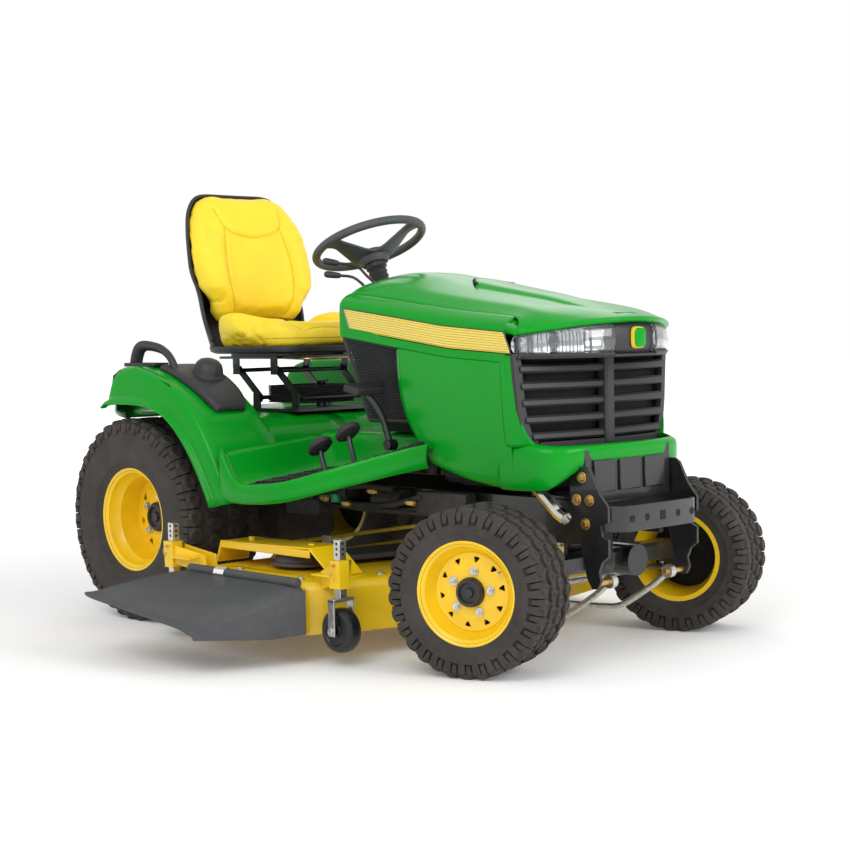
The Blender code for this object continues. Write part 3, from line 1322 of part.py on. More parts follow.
def main():
    make_frame()
    make_front_brackets()
    make_crossbar()
    make_transaxle()
    make_engine()
    make_exhaust()
    make_hood()
    make_fenders()
    make_footboard()
    make_consoles()
    make_dash()
    make_steering()
    make_front_axle()
    make_knuckles()
    make_tie_rod()
    stand_wheels()
    make_seat_base()
    make_seat()
    make_levers()
    make_pedals()
    deck = make_deck()
    pivot("deck", (0, -0.780, DECK_TOP), deck, make_bridge(), make_belt_cover())
    make_blades()
    make_chute()
    make_gauge_wheels()
    make_draft_rod()
    centre_on_ground()


main()
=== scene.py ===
from math import copysign, cos, exp, pi, radians, sin

import bmesh
import bpy
import numpy as np
from mathutils import Matrix, Vector
from mathutils.bvhtree import BVHTree


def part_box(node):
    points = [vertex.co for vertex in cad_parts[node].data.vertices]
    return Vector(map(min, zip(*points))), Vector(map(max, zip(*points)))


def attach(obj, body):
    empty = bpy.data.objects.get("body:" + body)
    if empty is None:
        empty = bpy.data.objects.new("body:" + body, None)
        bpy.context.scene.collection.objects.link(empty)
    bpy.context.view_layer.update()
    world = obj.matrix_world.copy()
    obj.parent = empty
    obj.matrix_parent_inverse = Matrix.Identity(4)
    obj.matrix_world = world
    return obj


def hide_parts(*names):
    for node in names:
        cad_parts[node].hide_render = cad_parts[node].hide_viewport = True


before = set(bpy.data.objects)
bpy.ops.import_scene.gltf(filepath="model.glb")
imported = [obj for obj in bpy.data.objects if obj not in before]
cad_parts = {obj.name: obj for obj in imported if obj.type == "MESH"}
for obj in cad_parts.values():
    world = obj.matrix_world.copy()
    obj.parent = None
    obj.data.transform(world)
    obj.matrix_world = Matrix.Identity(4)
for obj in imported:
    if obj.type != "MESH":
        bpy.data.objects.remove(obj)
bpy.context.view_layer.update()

SIDES = (("right", -1), ("left", 1))
TYRE_LOW, TYRE_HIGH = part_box("rear_tyre_right")
# everything is laid out from the rear axle's middle, on the ground, and then moved by O
O = Vector(((TYRE_LOW.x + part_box("rear_tyre_left")[1].x) / 2, (TYRE_LOW.y + TYRE_HIGH.y) / 2, 0))
WHEELBASE = 1.448
STEER = radians(19.8)  # how far the front wheels are turned at rest
# outer radius, width, rim radius, middle of the width, rim width, and lugs round
FRONT_TYRE = (0.228, 0.207, 0.1425, -0.089, 0.178, 30)
REAR_TYRE = (0.328, 0.296, 0.168, -0.1275, 0.255, 36)
BODY_OF_WHEEL = {("front", "right"): "front_wheel_r", ("front", "left"): "front_wheel_l",
                 ("rear", "right"): "rear_wheel_r", ("rear", "left"): "rear_wheel_l"}
GAUGES = {}  # where each gauge wheel stands
for tag in ("front_right", "front_left", "rear_right", "rear_left"):
    low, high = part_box(f"gauge_wheel_{tag}")
    GAUGES[tag] = ((low.x + high.x) / 2 - O.x, (low.y + high.y) / 2 - O.y)


# ---- camera, floor and light ----
def studio():
    yaw, pitch, roll = 0.7993, -0.0569, -0.0187
    look = Vector((cos(pitch) * cos(yaw), cos(pitch) * sin(yaw), sin(pitch)))
    side = look.cross(Vector((0, 0, 1))).normalized()
    up = side.cross(look)
    right = side * cos(roll) + up * sin(roll)
    top = up * cos(roll) - side * sin(roll)
    data = bpy.data.cameras.new("camera")
    data.sensor_width = 36
    data.lens = 73.4
    camera = bpy.data.objects.new("camera", data)
    bpy.context.scene.collection.objects.link(camera)
    turn = Matrix((right, top, -look)).transposed().to_4x4()
    turn.translation = Vector((-3.7814, -4.6727, 0.9352)) + O
    camera.matrix_world = turn
    bpy.context.scene.camera = camera

    bpy.ops.mesh.primitive_plane_add(size=60)
    floor = bpy.context.object
    floor.name = "floor"
    paper = material("paper", (0.93, 0.93, 0.93), 0.7, vary=0.01)
    nodes, link = paper.node_tree.nodes, paper.node_tree.links.new
    # The floor glows more with distance from the middle: painted light that brightens the far floor towards
    # the white backdrop.
    size = nodes.new("ShaderNodeVectorMath")
    size.operation = "LENGTH"
    link(nodes.new("ShaderNodeTexCoord").outputs["Object"], size.inputs[0])
    far = nodes.new("ShaderNodeMapRange")
    far.inputs["From Min"].default_value = 1.6
    far.inputs["From Max"].default_value = 7.0
    far.inputs["To Min"].default_value = 0.06
    far.inputs["To Max"].default_value = 0.55
    link(size.outputs["Value"], far.inputs["Value"])
    paper.node_tree.nodes["Principled BSDF"].inputs["Emission Color"].default_value = (1, 1, 1, 1)
    link(far.outputs["Result"], nodes["Principled BSDF"].inputs["Emission Strength"])
    floor.data.materials.append(paper)

    world = bpy.data.worlds.new("studio")
    bpy.context.scene.world = world
    world.use_nodes = True
    world.node_tree.nodes["Background"].inputs[0].default_value = (1, 1, 1, 1)
    world.node_tree.nodes["Background"].inputs[1].default_value = 0.8
    tree = world.node_tree
    plain = tree.nodes.new("ShaderNodeBackground")
    plain.inputs[0].default_value = (1, 1, 1, 1)
    plain.inputs[1].default_value = 1.0
    seen = tree.nodes.new("ShaderNodeLightPath")
    mix = tree.nodes.new("ShaderNodeMixShader")
    tree.links.new(seen.outputs["Is Camera Ray"], mix.inputs[0])
    tree.links.new(tree.nodes["Background"].outputs[0], mix.inputs[1])
    tree.links.new(plain.outputs[0], mix.inputs[2])
    tree.links.new(mix.outputs[0], tree.nodes["World Output"].inputs[0])
    for name, spot, aim, size, power in (
        ("key", (-4.5, -3.0, 4.6), (0, -0.7, 0.5), 3.4, 120),
        ("front", (0.8, -5.5, 2.6), (0, -1.2, 0.6), 2.4, 90),
        ("rim", (3.5, 2.5, 3.5), (0, -0.4, 0.7), 2.5, 16),
    ):
        lamp = bpy.data.lights.new(name, "AREA")
        lamp.size = size
        lamp.energy = power
        light = bpy.data.objects.new(name, lamp)
        bpy.context.scene.collection.objects.link(light)
        light.location = Vector(spot) + O
        light.rotation_euler = (Vector(aim) - Vector(spot)).to_track_quat("-Z", "Y").to_euler()
    view = bpy.context.scene.view_settings
    view.view_transform = "Standard"


# ---- materials ----
def material(name, colour, rough, metal=0.0, coat=0.0, vary=0.12, grain=40, bump=0.0,
             bump_scale=300, cells=False, dust=None, **extra):
    """Noise varies the colour and the roughness, and a fine noise or cell pattern is the bump."""
    made = bpy.data.materials.new(name)
    made.use_nodes = True
    nodes, link = made.node_tree.nodes, made.node_tree.links.new
    shader = nodes["Principled BSDF"]
    where = nodes.new("ShaderNodeTexCoord").outputs["Object"]
    noise = nodes.new("ShaderNodeTexNoise")
    noise.inputs["Scale"].default_value = grain
    noise.inputs["Detail"].default_value = 6
    link(where, noise.inputs["Vector"])
    ramp = nodes.new("ShaderNodeValToRGB")
    ramp.color_ramp.elements[0].position = 0.3
    ramp.color_ramp.elements[1].position = 0.7
    ramp.color_ramp.elements[0].color = (*[c * (1 - vary) for c in colour], 1)
    ramp.color_ramp.elements[1].color = (*[min(1, c * (1 + vary)) for c in colour], 1)
    link(noise.outputs["Fac"], ramp.inputs["Fac"])
    tint = ramp.outputs["Color"]
    if dust:
        broad = nodes.new("ShaderNodeTexNoise")
        broad.inputs["Scale"].default_value = 9
        broad.inputs["Detail"].default_value = 8
        link(where, broad.inputs["Vector"])
        spread = nodes.new("ShaderNodeMapRange")
        spread.inputs["From Min"].default_value = 0.45
        spread.inputs["From Max"].default_value = 0.75
        spread.inputs["To Max"].default_value = dust[3]
        link(broad.outputs["Fac"], spread.inputs["Value"])
        mix = nodes.new("ShaderNodeMix")
        mix.data_type = "RGBA"
        mix.inputs["B"].default_value = (*dust[:3], 1)
        link(spread.outputs["Result"], mix.inputs["Factor"])
        link(tint, mix.inputs["A"])
        tint = mix.outputs["Result"]
    link(tint, shader.inputs["Base Color"])
    gloss = nodes.new("ShaderNodeMapRange")
    gloss.inputs["To Min"].default_value = max(0.02, rough * 0.85)
    gloss.inputs["To Max"].default_value = min(1, rough * 1.2)
    link(noise.outputs["Fac"], gloss.inputs["Value"])
    link(gloss.outputs["Result"], shader.inputs["Roughness"])
    shader.inputs["Metallic"].default_value = metal
    shader.inputs["Coat Weight"].default_value = coat
    shader.inputs["Coat Roughness"].default_value = 0.05
    if bump:
        pattern = nodes.new("ShaderNodeTexVoronoi" if cells else "ShaderNodeTexNoise")
        pattern.inputs["Scale"].default_value = bump_scale
        link(where, pattern.inputs["Vector"])
        relief = nodes.new("ShaderNodeBump")
        relief.inputs["Strength"].default_value = bump
        relief.inputs["Distance"].default_value = 0.0006
        link(pattern.outputs["Distance" if cells else "Fac"], relief.inputs["Height"])
        link(relief.outputs["Normal"], shader.inputs["Normal"])
    for key, value in extra.items():
        shader.inputs[key.replace("_", " ")].default_value = value
    return made


GREEN = material("green_paint", (0.0008, 0.285, 0.014), 0.22, coat=0.12, vary=0.03, grain=8, bump=0.03,
                 bump_scale=90, Specular_IOR_Level=0.14)
YELLOW = material("yellow_paint", (0.9, 0.58, 0.006), 0.36, coat=0.25, vary=0.05, grain=14, bump=0.06,
                  bump_scale=120, dust=(0.45, 0.28, 0.03, 0.12))
VINYL = material("vinyl", (0.95, 0.7, 0.022), 0.5, vary=0.03, grain=12, bump=0.25, bump_scale=650,
                 cells=True)
BLACK = material("black_paint", (0.011, 0.011, 0.012), 0.3, coat=0.3, vary=0.25, grain=30, bump=0.08,
                 bump_scale=150, dust=(0.05, 0.045, 0.04, 0.25))
PLASTIC = material("black_plastic", (0.022, 0.022, 0.024), 0.48, vary=0.15, grain=60, bump=0.2,
                   bump_scale=900)
GREY = material("grey_plastic", (0.058, 0.06, 0.066), 0.52, vary=0.12, grain=50, bump=0.25,
                bump_scale=700, dust=(0.12, 0.115, 0.1, 0.25))
RUBBER = material("tyre_rubber", (0.034, 0.029, 0.026), 0.78, vary=0.25, grain=45, bump=0.3,
                  bump_scale=260, dust=(0.09, 0.075, 0.06, 0.35))
SLICK = material("wheel_rubber", (0.01, 0.01, 0.011), 0.34, vary=0.2, grain=60, bump=0.1)
ZINC = material("zinc", (0.62, 0.61, 0.58), 0.34, metal=1.0, vary=0.18, grain=70, bump=0.1,
                bump_scale=220)
GOLD = material("yellow_zinc", (0.6, 0.4, 0.14), 0.34, metal=1.0, vary=0.25, grain=50, bump=0.1)
CHROME = material("polished", (0.72, 0.7, 0.67), 0.16, metal=1.0, vary=0.1, grain=30, bump=0.04)
CAST = material("cast", (0.055, 0.055, 0.057), 0.62, metal=0.5, vary=0.3, grain=40, bump=0.5,
                bump_scale=180, dust=(0.1, 0.08, 0.05, 0.3))
LENS = material("lens", (0.96, 0.97, 0.98), 0.04, vary=0.01, Transmission_Weight=0.94, IOR=1.46)
MIRROR = material("reflector", (0.5, 0.52, 0.54), 0.16, metal=1.0, vary=0.05, grain=60)
# Near-black painted shade: sheets, rods and discs set in openings, under fenders and behind parts where there
# is only shade.
PAINTED_SHADE = material("painted_shade_black", (0.004, 0.004, 0.004), 0.8, vary=0.3)
CAP_GREEN = material("cap_green", (0.01, 0.35, 0.16), 0.4, vary=0.1)
MAT = material("rubber_mat", (0.02, 0.02, 0.021), 0.62, vary=0.2, grain=50, bump=0.45, bump_scale=420,
               cells=True, dust=(0.07, 0.065, 0.055, 0.3))
SEAM = material("seam", (0.66, 0.44, 0.01), 0.6, vary=0.1)


# ---- building helpers ----
def interp(value, stops):
    ys, vs = zip(*sorted(stops))
    return float(np.interp(value, ys, vs))


def smooth_run(points, per=6):
    """A Catmull-Rom run through the points."""
    pts = [Vector(p) for p in points]
    ends = [2 * pts[0] - pts[1]] + pts + [2 * pts[-1] - pts[-2]]
    run = []
    for a, b, c, d in zip(ends, ends[1:], ends[2:], ends[3:]):
        for k in range(per):
            t = k / per
            run.append(0.5 * (2 * b + (c - a) * t + (2 * a - 5 * b + 4 * c - d) * t * t
                              + (3 * b - 3 * c + d - a) * t * t * t))
    return run + [pts[-1]]


def circle(radius, count, high=None):
    """Points round a circle, or round an ellipse where its height differs."""
    turns = [2 * pi * k / count for k in range(count)]
    return [(radius * cos(a), (high or radius) * sin(a)) for a in turns]


def squared(angle, across, along):
    """Cosine and sine drawn out towards the corners of a square."""
    c, d = cos(angle), sin(angle)
    return copysign(abs(c) ** across, c), copysign(abs(d) ** along, d)


def skin(bm, rings, closed=True, joined=False, caps=False):
    """Faces from each ring to the next. Rings are closed loops, and joined links last to first."""
    count = len(rings[0])
    for first, second in zip(rings, rings[1:] + (rings[:1] if joined else [])):
        for j in range(count if closed else count - 1):
            k = (j + 1) % count
            bm.faces.new((first[j], first[k], second[k], second[j]))
    if caps:
        bm.faces.new(rings[0])
        bm.faces.new(rings[-1])


def sweep(bm, points, section, closed=False):
    """A closed section of (side, up) points carried along a run, capped at its ends."""
    rings, normal = [], None
    count = len(points)
    for i, spot in enumerate(points):
        if closed:
            run = (points[(i + 1) % count] - points[i - 1]).normalized()
        else:
            run = (points[min(i + 1, count - 1)] - points[max(i - 1, 0)]).normalized()
        if normal is None:
            normal = run.orthogonal() if abs(run.z) > 0.95 else Vector((0, 0, 1))
        normal = (normal - run * normal.dot(run)).normalized()
        across = run.cross(normal)
        rings.append([bm.verts.new(spot + across * a + normal * b) for a, b in section])
    skin(bm, rings, joined=closed, caps=not closed)


def tube(bm, points, radius, sides=12, per=6):
    run = smooth_run(points, per) if per else [Vector(p) for p in points]
    sweep(bm, run, circle(radius, sides))


def stick(bm, a, b, radius, sides=20):
    a, b = Vector(a), Vector(b)
    turn = (b - a).to_track_quat("Z", "Y").to_matrix().to_4x4()
    made = bmesh.ops.create_cone(bm, cap_ends=True, segments=sides, radius1=radius, radius2=radius,
                                 depth=(b - a).length)
    bmesh.ops.transform(bm, matrix=Matrix.Translation((a + b) / 2) @ turn, verts=made["verts"])


def chain(bm, spots, radius, sides):
    for a, b in zip(spots, spots[1:]):
        stick(bm, a, b, radius, sides)


def brick(bm, low, high, turn=None, about=None):
    low, high = Vector(low), Vector(high)
    made = bmesh.ops.create_cube(bm, size=1)
    move = Matrix.Translation((low + high) / 2) @ Matrix.Diagonal((*(high - low), 1))
    if turn is not None:
        about = Vector(about or (low + high) / 2)
        move = Matrix.Translation(about) @ turn @ Matrix.Translation(-about) @ move
    bmesh.ops.transform(bm, matrix=move, verts=made["verts"])


def lathe(bm, profile, steps=64, matrix=None, closed=True):
    """A profile of (radius, height) points turned about Z, then moved by the matrix."""
    rings = [[bm.verts.new((r * c, r * s, h)) for r, h in profile] for c, s in circle(1, steps)]
    skin(bm, rings, closed=closed, joined=True)
    if matrix is not None:
        bmesh.ops.transform(bm, matrix=matrix, verts=[v for ring in rings for v in ring])


def prism(bm, outline, low, high, matrix=None):
    """A flat outline in X and Y given thickness from low to high in Z."""
    rings = [[bm.verts.new((x, y, z)) for x, y in outline] for z in (low, high)]
    skin(bm, rings, caps=True)
    if matrix is not None:
        bmesh.ops.transform(bm, matrix=matrix, verts=rings[0] + rings[1])


def grid(bm, rows, close=False):
    made = [[bm.verts.new(p) for p in row] for row in rows]
    skin(bm, made, closed=False, joined=close)
    return made


SIDE_ON = Matrix(((0, 0, 1, 0), (1, 0, 0, 0), (0, 1, 0, 0), (0, 0, 0, 1)))  # X, Y, Z to Y, Z, X


def piece(name, bm, mat, body, replaced=(), sub=0, bevel=0.0, wall=0.0, angle=35, fix=True,
          segments=2, place=True):
    """Makes the piece from what was built, moves it onto the model and hangs it on its body."""
    bmesh.ops.remove_doubles(bm, verts=bm.verts, dist=2e-05)
    if fix:
        bmesh.ops.recalc_face_normals(bm, faces=bm.faces)
    mesh = bpy.data.meshes.new(name)
    bm.to_mesh(mesh)
    bm.free()
    if place:
        mesh.transform(Matrix.Translation(O))
    obj = bpy.data.objects.new(name, mesh)
    bpy.context.scene.collection.objects.link(obj)
    mesh.materials.append(mat)
    mesh.shade_smooth()
    if not sub:
        mesh.set_sharp_from_angle(angle=radians(angle))
    if wall and sub:
        add(obj, "SUBSURF", levels=sub, render_levels=sub)
    if wall:
        add(obj, "SOLIDIFY", thickness=wall, offset=-1)
    if bevel:
        add(obj, "BEVEL", width=bevel, segments=segments, limit_method="ANGLE",
            angle_limit=radians(30), harden_normals=False)
    if sub and not wall:
        add(obj, "SUBSURF", levels=sub, render_levels=sub)
    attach(obj, body)
    if replaced:
        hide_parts(*replaced)
    return obj


def add(obj, kind, **settings):
    made = obj.modifiers.new(kind.lower(), kind)
    for key, value in settings.items():
        setattr(made, key, value)
    return made


def face_up(bm, axis=2, sign=1):
    """Turns an open sheet over if it mostly faces the wrong way."""
    bmesh.ops.recalc_face_normals(bm, faces=bm.faces)
    if sum(f.normal[axis] * f.calc_area() for f in bm.faces) * sign < 0:
        bmesh.ops.reverse_faces(bm, faces=bm.faces)


def placed(spot, degrees=0, axis="X"):
    return Matrix.Translation(spot) @ Matrix.Rotation(radians(degrees), 4, axis)


def aimed(spot, run):
    return Matrix.Translation(spot) @ run.to_track_quat("Z", "X").to_matrix().to_4x4()


def sheet(name, rows, paint, body, replaced=(), up=None, close=False, **look):
    """A piece from one grid of points. Where up is given, it faces that axis and sign."""
    bm = bmesh.new()
    grid(bm, rows, close)
    if up:
        face_up(bm, *up)
    return piece(name, bm, paint, body, replaced, fix=not up, **look)


def turned(name, profile, steps, matrix, paint, body, replaced=(), closed=False, **look):
    """A piece made by turning one profile."""
    bm = bmesh.new()
    lathe(bm, profile, steps, matrix, closed)
    piece(name, bm, paint, body, replaced, **look)


def repaint(names, mat):
    for name in names:
        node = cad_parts[name]
        node.data.materials.clear()
        node.data.materials.append(mat)


# ---- hood ----
COLUMNS = [-0.722, -0.76, -0.83, -0.91, -0.985, -1.05, -1.12, -1.2, -1.28, -1.36, -1.405, -1.44]
NOSE = COLUMNS[-1]
CROWN = [(-1.66, 0.953), (-1.5, 0.976), (-1.35, 1.01), (-1.13, 1.046), (-1.0, 1.07), (-0.9, 1.098),
         (-0.84, 1.106), (-0.77, 1.098), (-0.722, 1.085)]


def half_width(y):
    return interp(y, [(-1.47, 0.33), (-1.4, 0.328), (-1.2, 0.32), (-0.95, 0.308), (-0.722, 0.292)])


def stripe_low(y):
    return interp(y, [(-1.462, 0.852), (-1.2, 0.868), (-0.98, 0.897), (-0.722, 0.93)])


def stripe_high(y):
    return interp(y, [(-1.5, 0.914), (-1.2, 0.939), (-0.98, 0.968), (-0.722, 1.0)])


def side_x(y, z):
    """The side's distance from the centreline: it tucks in towards the skirt."""
    t = min(1, max(0, (z - skirt(y)) / 0.36))
    tuck = interp(y, [(-1.46, 0.034), (-1.2, 0.03), (-0.7, 0.05)])
    return half_width(y) - tuck * (1 - t) ** 1.6


def skirt(y):
    """The side's lower edge."""
    return interp(y, [(-1.44, 0.476), (-1.26, 0.498), (-1.09, 0.537), (-0.72, 0.56)])


def band_z(y, share):
    """Height on the hood's side, from the stripe's lower edge at 0 to its upper edge at 1."""
    return stripe_low(y) + (stripe_high(y) - stripe_low(y)) * share


def make_hood():
    rear = COLUMNS[4]
    for name, s in SIDES:
        rows = []
        for t in (0.0, 0.03, 0.1, 0.35, 0.62, 0.85, 0.96, 1.0):
            back = interp(t, [(0, -1.095), (0.1, -1.07), (0.35, -1.005), (0.62, -0.985), (1, -0.988)])
            inset = 0 if t else 0.006
            row = []
            for y in COLUMNS[4:]:
                yy = back + (y - rear) * (NOSE - back) / (NOSE - rear)
                z = skirt(yy) + (stripe_low(yy) - 0.022 - skirt(yy)) * t
                row.append((s * (side_x(yy, z) - inset), yy, z))
            rows.append(row)
        sheet(f"hood_side_{name}", rows, GREEN, "hood", up=(0, s), wall=0.006, sub=2)
        rows = [[(s * half_width(y), y, stripe_low(y) - drop) for y in COLUMNS] for drop in (0.021, 0.01)]
        for lift, inset in ((0, 0), (0.5, 0), (1, 0), (1.22, 0.005), (1.42, 0.022), (1.6, 0.05)):
            rows.append([(s * (half_width(y) - inset), y, band_z(y, lift)) for y in COLUMNS])
        sheet(f"hood_band_{name}", rows, GREEN, "hood", up=(0, s), wall=0.006, sub=2)
        make_stripe(name, s)
    make_hood_top()
    make_bumper()
    make_hump()


def make_stripe(name, s):
    """The yellow band with fine dark lines and a dark border along the hood's side."""
    bm = bmesh.new()
    layer = bm.loops.layers.uv.new("across")
    made = grid(bm, [[(s * (half_width(y) + 0.0008), y + 0.028 * (v - 0.5), band_z(y, 0.02 + 0.96 * v))
                      for y in np.linspace(-0.752, -1.452, 30)] for v in np.linspace(0, 1, 7)])
    spot = {vert: (j / 29, i / 6) for i, row in enumerate(made) for j, vert in enumerate(row)}
    for face in bm.faces:
        for loop in face.loops:
            loop[layer].uv = spot[loop.vert]
    face_up(bm, 0, s)
    piece(f"hood_stripe_{name}", bm, STRIPE, "hood", wall=0.0006, fix=False)


def stripe_material():
    made = material("stripe", (0.8, 0.6, 0.07), 0.3, coat=0.5, vary=0.03)
    nodes, link = made.node_tree.nodes, made.node_tree.links.new
    shader = nodes["Principled BSDF"]
    uv = nodes.new("ShaderNodeUVMap")
    uv.uv_map = "across"
    split = nodes.new("ShaderNodeSeparateXYZ")
    link(uv.outputs["UV"], split.inputs["Vector"])

    def step(kind, a, b):
        node = nodes.new("ShaderNodeMath")
        node.operation = kind
        for i, value in enumerate((a, b)):
            if hasattr(value, "links"):
                link(value, node.inputs[i])
            elif value is not None:
                node.inputs[i].default_value = value
        return node.outputs[0]

    across, along = split.outputs["Y"], split.outputs["X"]
    wave = step("FRACT", step("MULTIPLY", across, 9.0), None)
    line = step("GREATER_THAN", wave, 0.8)
    edge = step("GREATER_THAN", step("ABSOLUTE", step("SUBTRACT", across, 0.5), None), 0.455)
    ends = step("GREATER_THAN", step("ABSOLUTE", step("SUBTRACT", along, 0.5), None), 0.492)
    border = step("MAXIMUM", edge, ends)
    mix = nodes.new("ShaderNodeMix")
    mix.data_type = "RGBA"
    link(shader.inputs["Base Color"].links[0].from_socket, mix.inputs["A"])
    mix.inputs["B"].default_value = (0.26, 0.22, 0.02, 1)
    link(line, mix.inputs["Factor"])
    rim = nodes.new("ShaderNodeMix")
    rim.data_type = "RGBA"
    link(mix.outputs["Result"], rim.inputs["A"])
    rim.inputs["B"].default_value = (0.012, 0.018, 0.01, 1)
    link(border, rim.inputs["Factor"])
    link(rim.outputs["Result"], shader.inputs["Base Color"])
    return made


STRIPE = stripe_material()


def lip_y(x):
    """The prow's front edge in plan."""
    return interp(abs(x), [(0, -1.652), (0.085, -1.644), (0.17, -1.606), (0.25, -1.558), (0.33, -1.48)])


def top_z(x, y):
    """The hood's top, with a ridge each side of the middle."""
    edge = band_z(y, 1.58)
    t = min(1, abs(x) / (half_width(y) - 0.048))
    ridge = 0.007 * exp(-((abs(x) - 0.215) / 0.03) ** 2) * interp(y, [(-1.5, 1), (-0.9, 0.4)])
    return edge + (interp(y, CROWN) - edge) * (1 - t ** 3) + ridge


def make_hood_top():
    edge_x = 0.268
    widths = [0.0, 0.07, 0.1, 0.15, 0.195, 0.215, 0.235, edge_x]
    xs = [-w for w in reversed(widths[1:])] + widths
    rows = []
    for y in COLUMNS:
        reach = (half_width(y) - 0.048) / edge_x
        rows.append([(x * reach, y, top_z(x * reach, y)) for x in xs])
    for share in (0.35, 0.7, 0.94, 1.0):
        row = []
        for x in xs:
            xx = x * (reach + (0.328 / edge_x - reach) * share)
            edge = interp(abs(xx), [(0, 0.953), (0.17, 0.944), (0.328, 0.918)])
            z = top_z(x * reach, NOSE)
            row.append((xx, NOSE + (lip_y(xx) - NOSE) * share, z + (edge - z) * share ** 1.25))
        rows.append(row)
    rows.append([(x, y + 0.006, z - 0.014) for x, y, z in rows[-1]])
    rows.append([(x * 0.95, y + 0.03, z - 0.002) for x, y, z in rows[-1]])
    rows = [[(x, y + back, z - drop) for x, y, z in rows[0]]
            for back, drop in ((0.016, 0.06), (0.012, 0.01))] + rows
    sheet("hood_top", rows, GREEN, "hood", ("hood_shell",), up=(2, 1), wall=0.004, sub=2)
    wide = half_width(NOSE)
    ties = (((wide, NOSE, stripe_low(NOSE) + 0.06), (0.329, -1.482, 0.906)),
            ((wide, NOSE, 0.936), (0.329, -1.48, 0.92)),
            ((wide - 0.05, NOSE, 0.952), (0.3, -1.508, 0.928)))
    for name, s in SIDES:
        rows = [[Vector((s * a[0], *a[1:])).lerp(Vector((s * b[0], *b[1:])), t) for a, b in ties]
                for t in (0, 0.3, 0.7, 1.0)]
        sheet(f"hood_corner_{name}", rows, GREEN, "hood", up=(2, 1), wall=0.006, angle=60)


def make_bumper():
    """The lower front, which wraps from one skirt round the nose to the other."""
    path = [(0.299, -1.38), (0.301, -1.44), (0.297, -1.5), (0.281, -1.546), (0.246, -1.58),
            (0.17, -1.6), (0.008, -1.606), (0.0, -1.606)]
    run = [(-x, y) for x, y in path] + list(reversed(path[:-1]))
    rows = []
    for t, push in ((0.0, -0.01), (0.06, 0.0), (0.35, 0.004), (0.8, 0.006), (0.94, 0.0), (1.0, -0.016)):
        row = []
        for x, y in run:
            low = interp(y, [(-1.597, 0.553), (-1.575, 0.5), (-1.556, 0.48), (-1.4, 0.478)])
            high = interp(y, [(-1.58, 0.603), (-1.54, 0.604), (-1.5, 0.612), (-1.4, 0.615)])
            n = Vector((x, y + 1.4)).normalized() if y < -1.41 else Vector((copysign(1, x), 0))
            row.append((x + n.x * push, y + n.y * push, low + (high - low) * t))
        rows.append(row)
    bm = bmesh.new()
    grid(bm, rows)
    bmesh.ops.recalc_face_normals(bm, faces=bm.faces)
    if sum(f.normal.y for f in bm.faces if abs(f.calc_center_median().x) < 0.1) > 0:
        bmesh.ops.reverse_faces(bm, faces=bm.faces)
    piece("hood_bumper", bm, GREEN, "hood", wall=0.006, sub=2, fix=False)
    for name, s in SIDES:
        rows = []
        for z in np.linspace(0.6, 0.852, 8):
            outer = side_x(NOSE, z)
            x = interp(z, [(0.6, 0.274), (0.64, 0.302), (0.7, 0.313), (0.86, 0.322)])
            y = interp(z, [(0.6, -1.505), (0.66, -1.478), (0.86, -1.466)])
            rows.append([(s * a, b, z) for a, b in ((outer, -1.42), (outer, NOSE), (outer - 0.002, -1.454),
                                                    (x + 0.006, y - 0.006), (x, y), (x - 0.004, y + 0.02))])
        sheet(f"hood_cheek_{name}", rows, GREEN, "hood", up=(1, -1), wall=0.004, sub=2)


def make_hump():
    """The raised middle of the hood, and the vent under its rear edge, a sheet in painted shade."""
    rows = []
    for y in np.linspace(-1.1, -1.6, 14):
        tall = interp(y, [(-1.62, 0.0), (-1.45, 0.006), (-1.2, 0.012), (-1.1, 0.014)])
        wide = interp(y, [(-1.6, 0.045), (-1.3, 0.072), (-1.1, 0.085)])
        row = []
        for u, lift in ((-1.25, -0.004), (-1, 0.3), (-0.85, 0.95), (-0.4, 1.0), (0, 1.0), (0.4, 1.0),
                        (0.85, 0.95), (1, 0.3), (1.25, -0.004)):
            yy = y + 0.085 * (1 - abs(u)) * interp(y, [(-1.3, 0), (-1.1, 1)])
            base = interp(yy, CROWN) if yy < -1.47 else top_z(u * wide, yy)
            row.append((u * wide, yy, base + (tall * lift if lift > 0 else lift)))
        rows.append(row)
    sheet("hood_hump", rows, GREEN, "hood", up=(2, 1), wall=0.002, sub=1)
    # The vent under the hump's rear edge is a sheet in painted shade.
    rows = []
    for drop, out in ((-0.006, 0.016), (0.006, 0.01), (0.0125, -0.002)):
        row = []
        for u in np.linspace(-1, 1, 11):
            y = -1.1 + 0.085 * (1 - abs(u)) + out
            row.append((u * 0.082, y, top_z(u * 0.085, y) + drop))
        rows.append(row)
    sheet("hood_vent_shade", rows, PAINTED_SHADE, "hood", up=(2, 1), wall=0.002)


def front_y(x):
    return -1.52 + 0.042 * (x / 0.3) ** 2


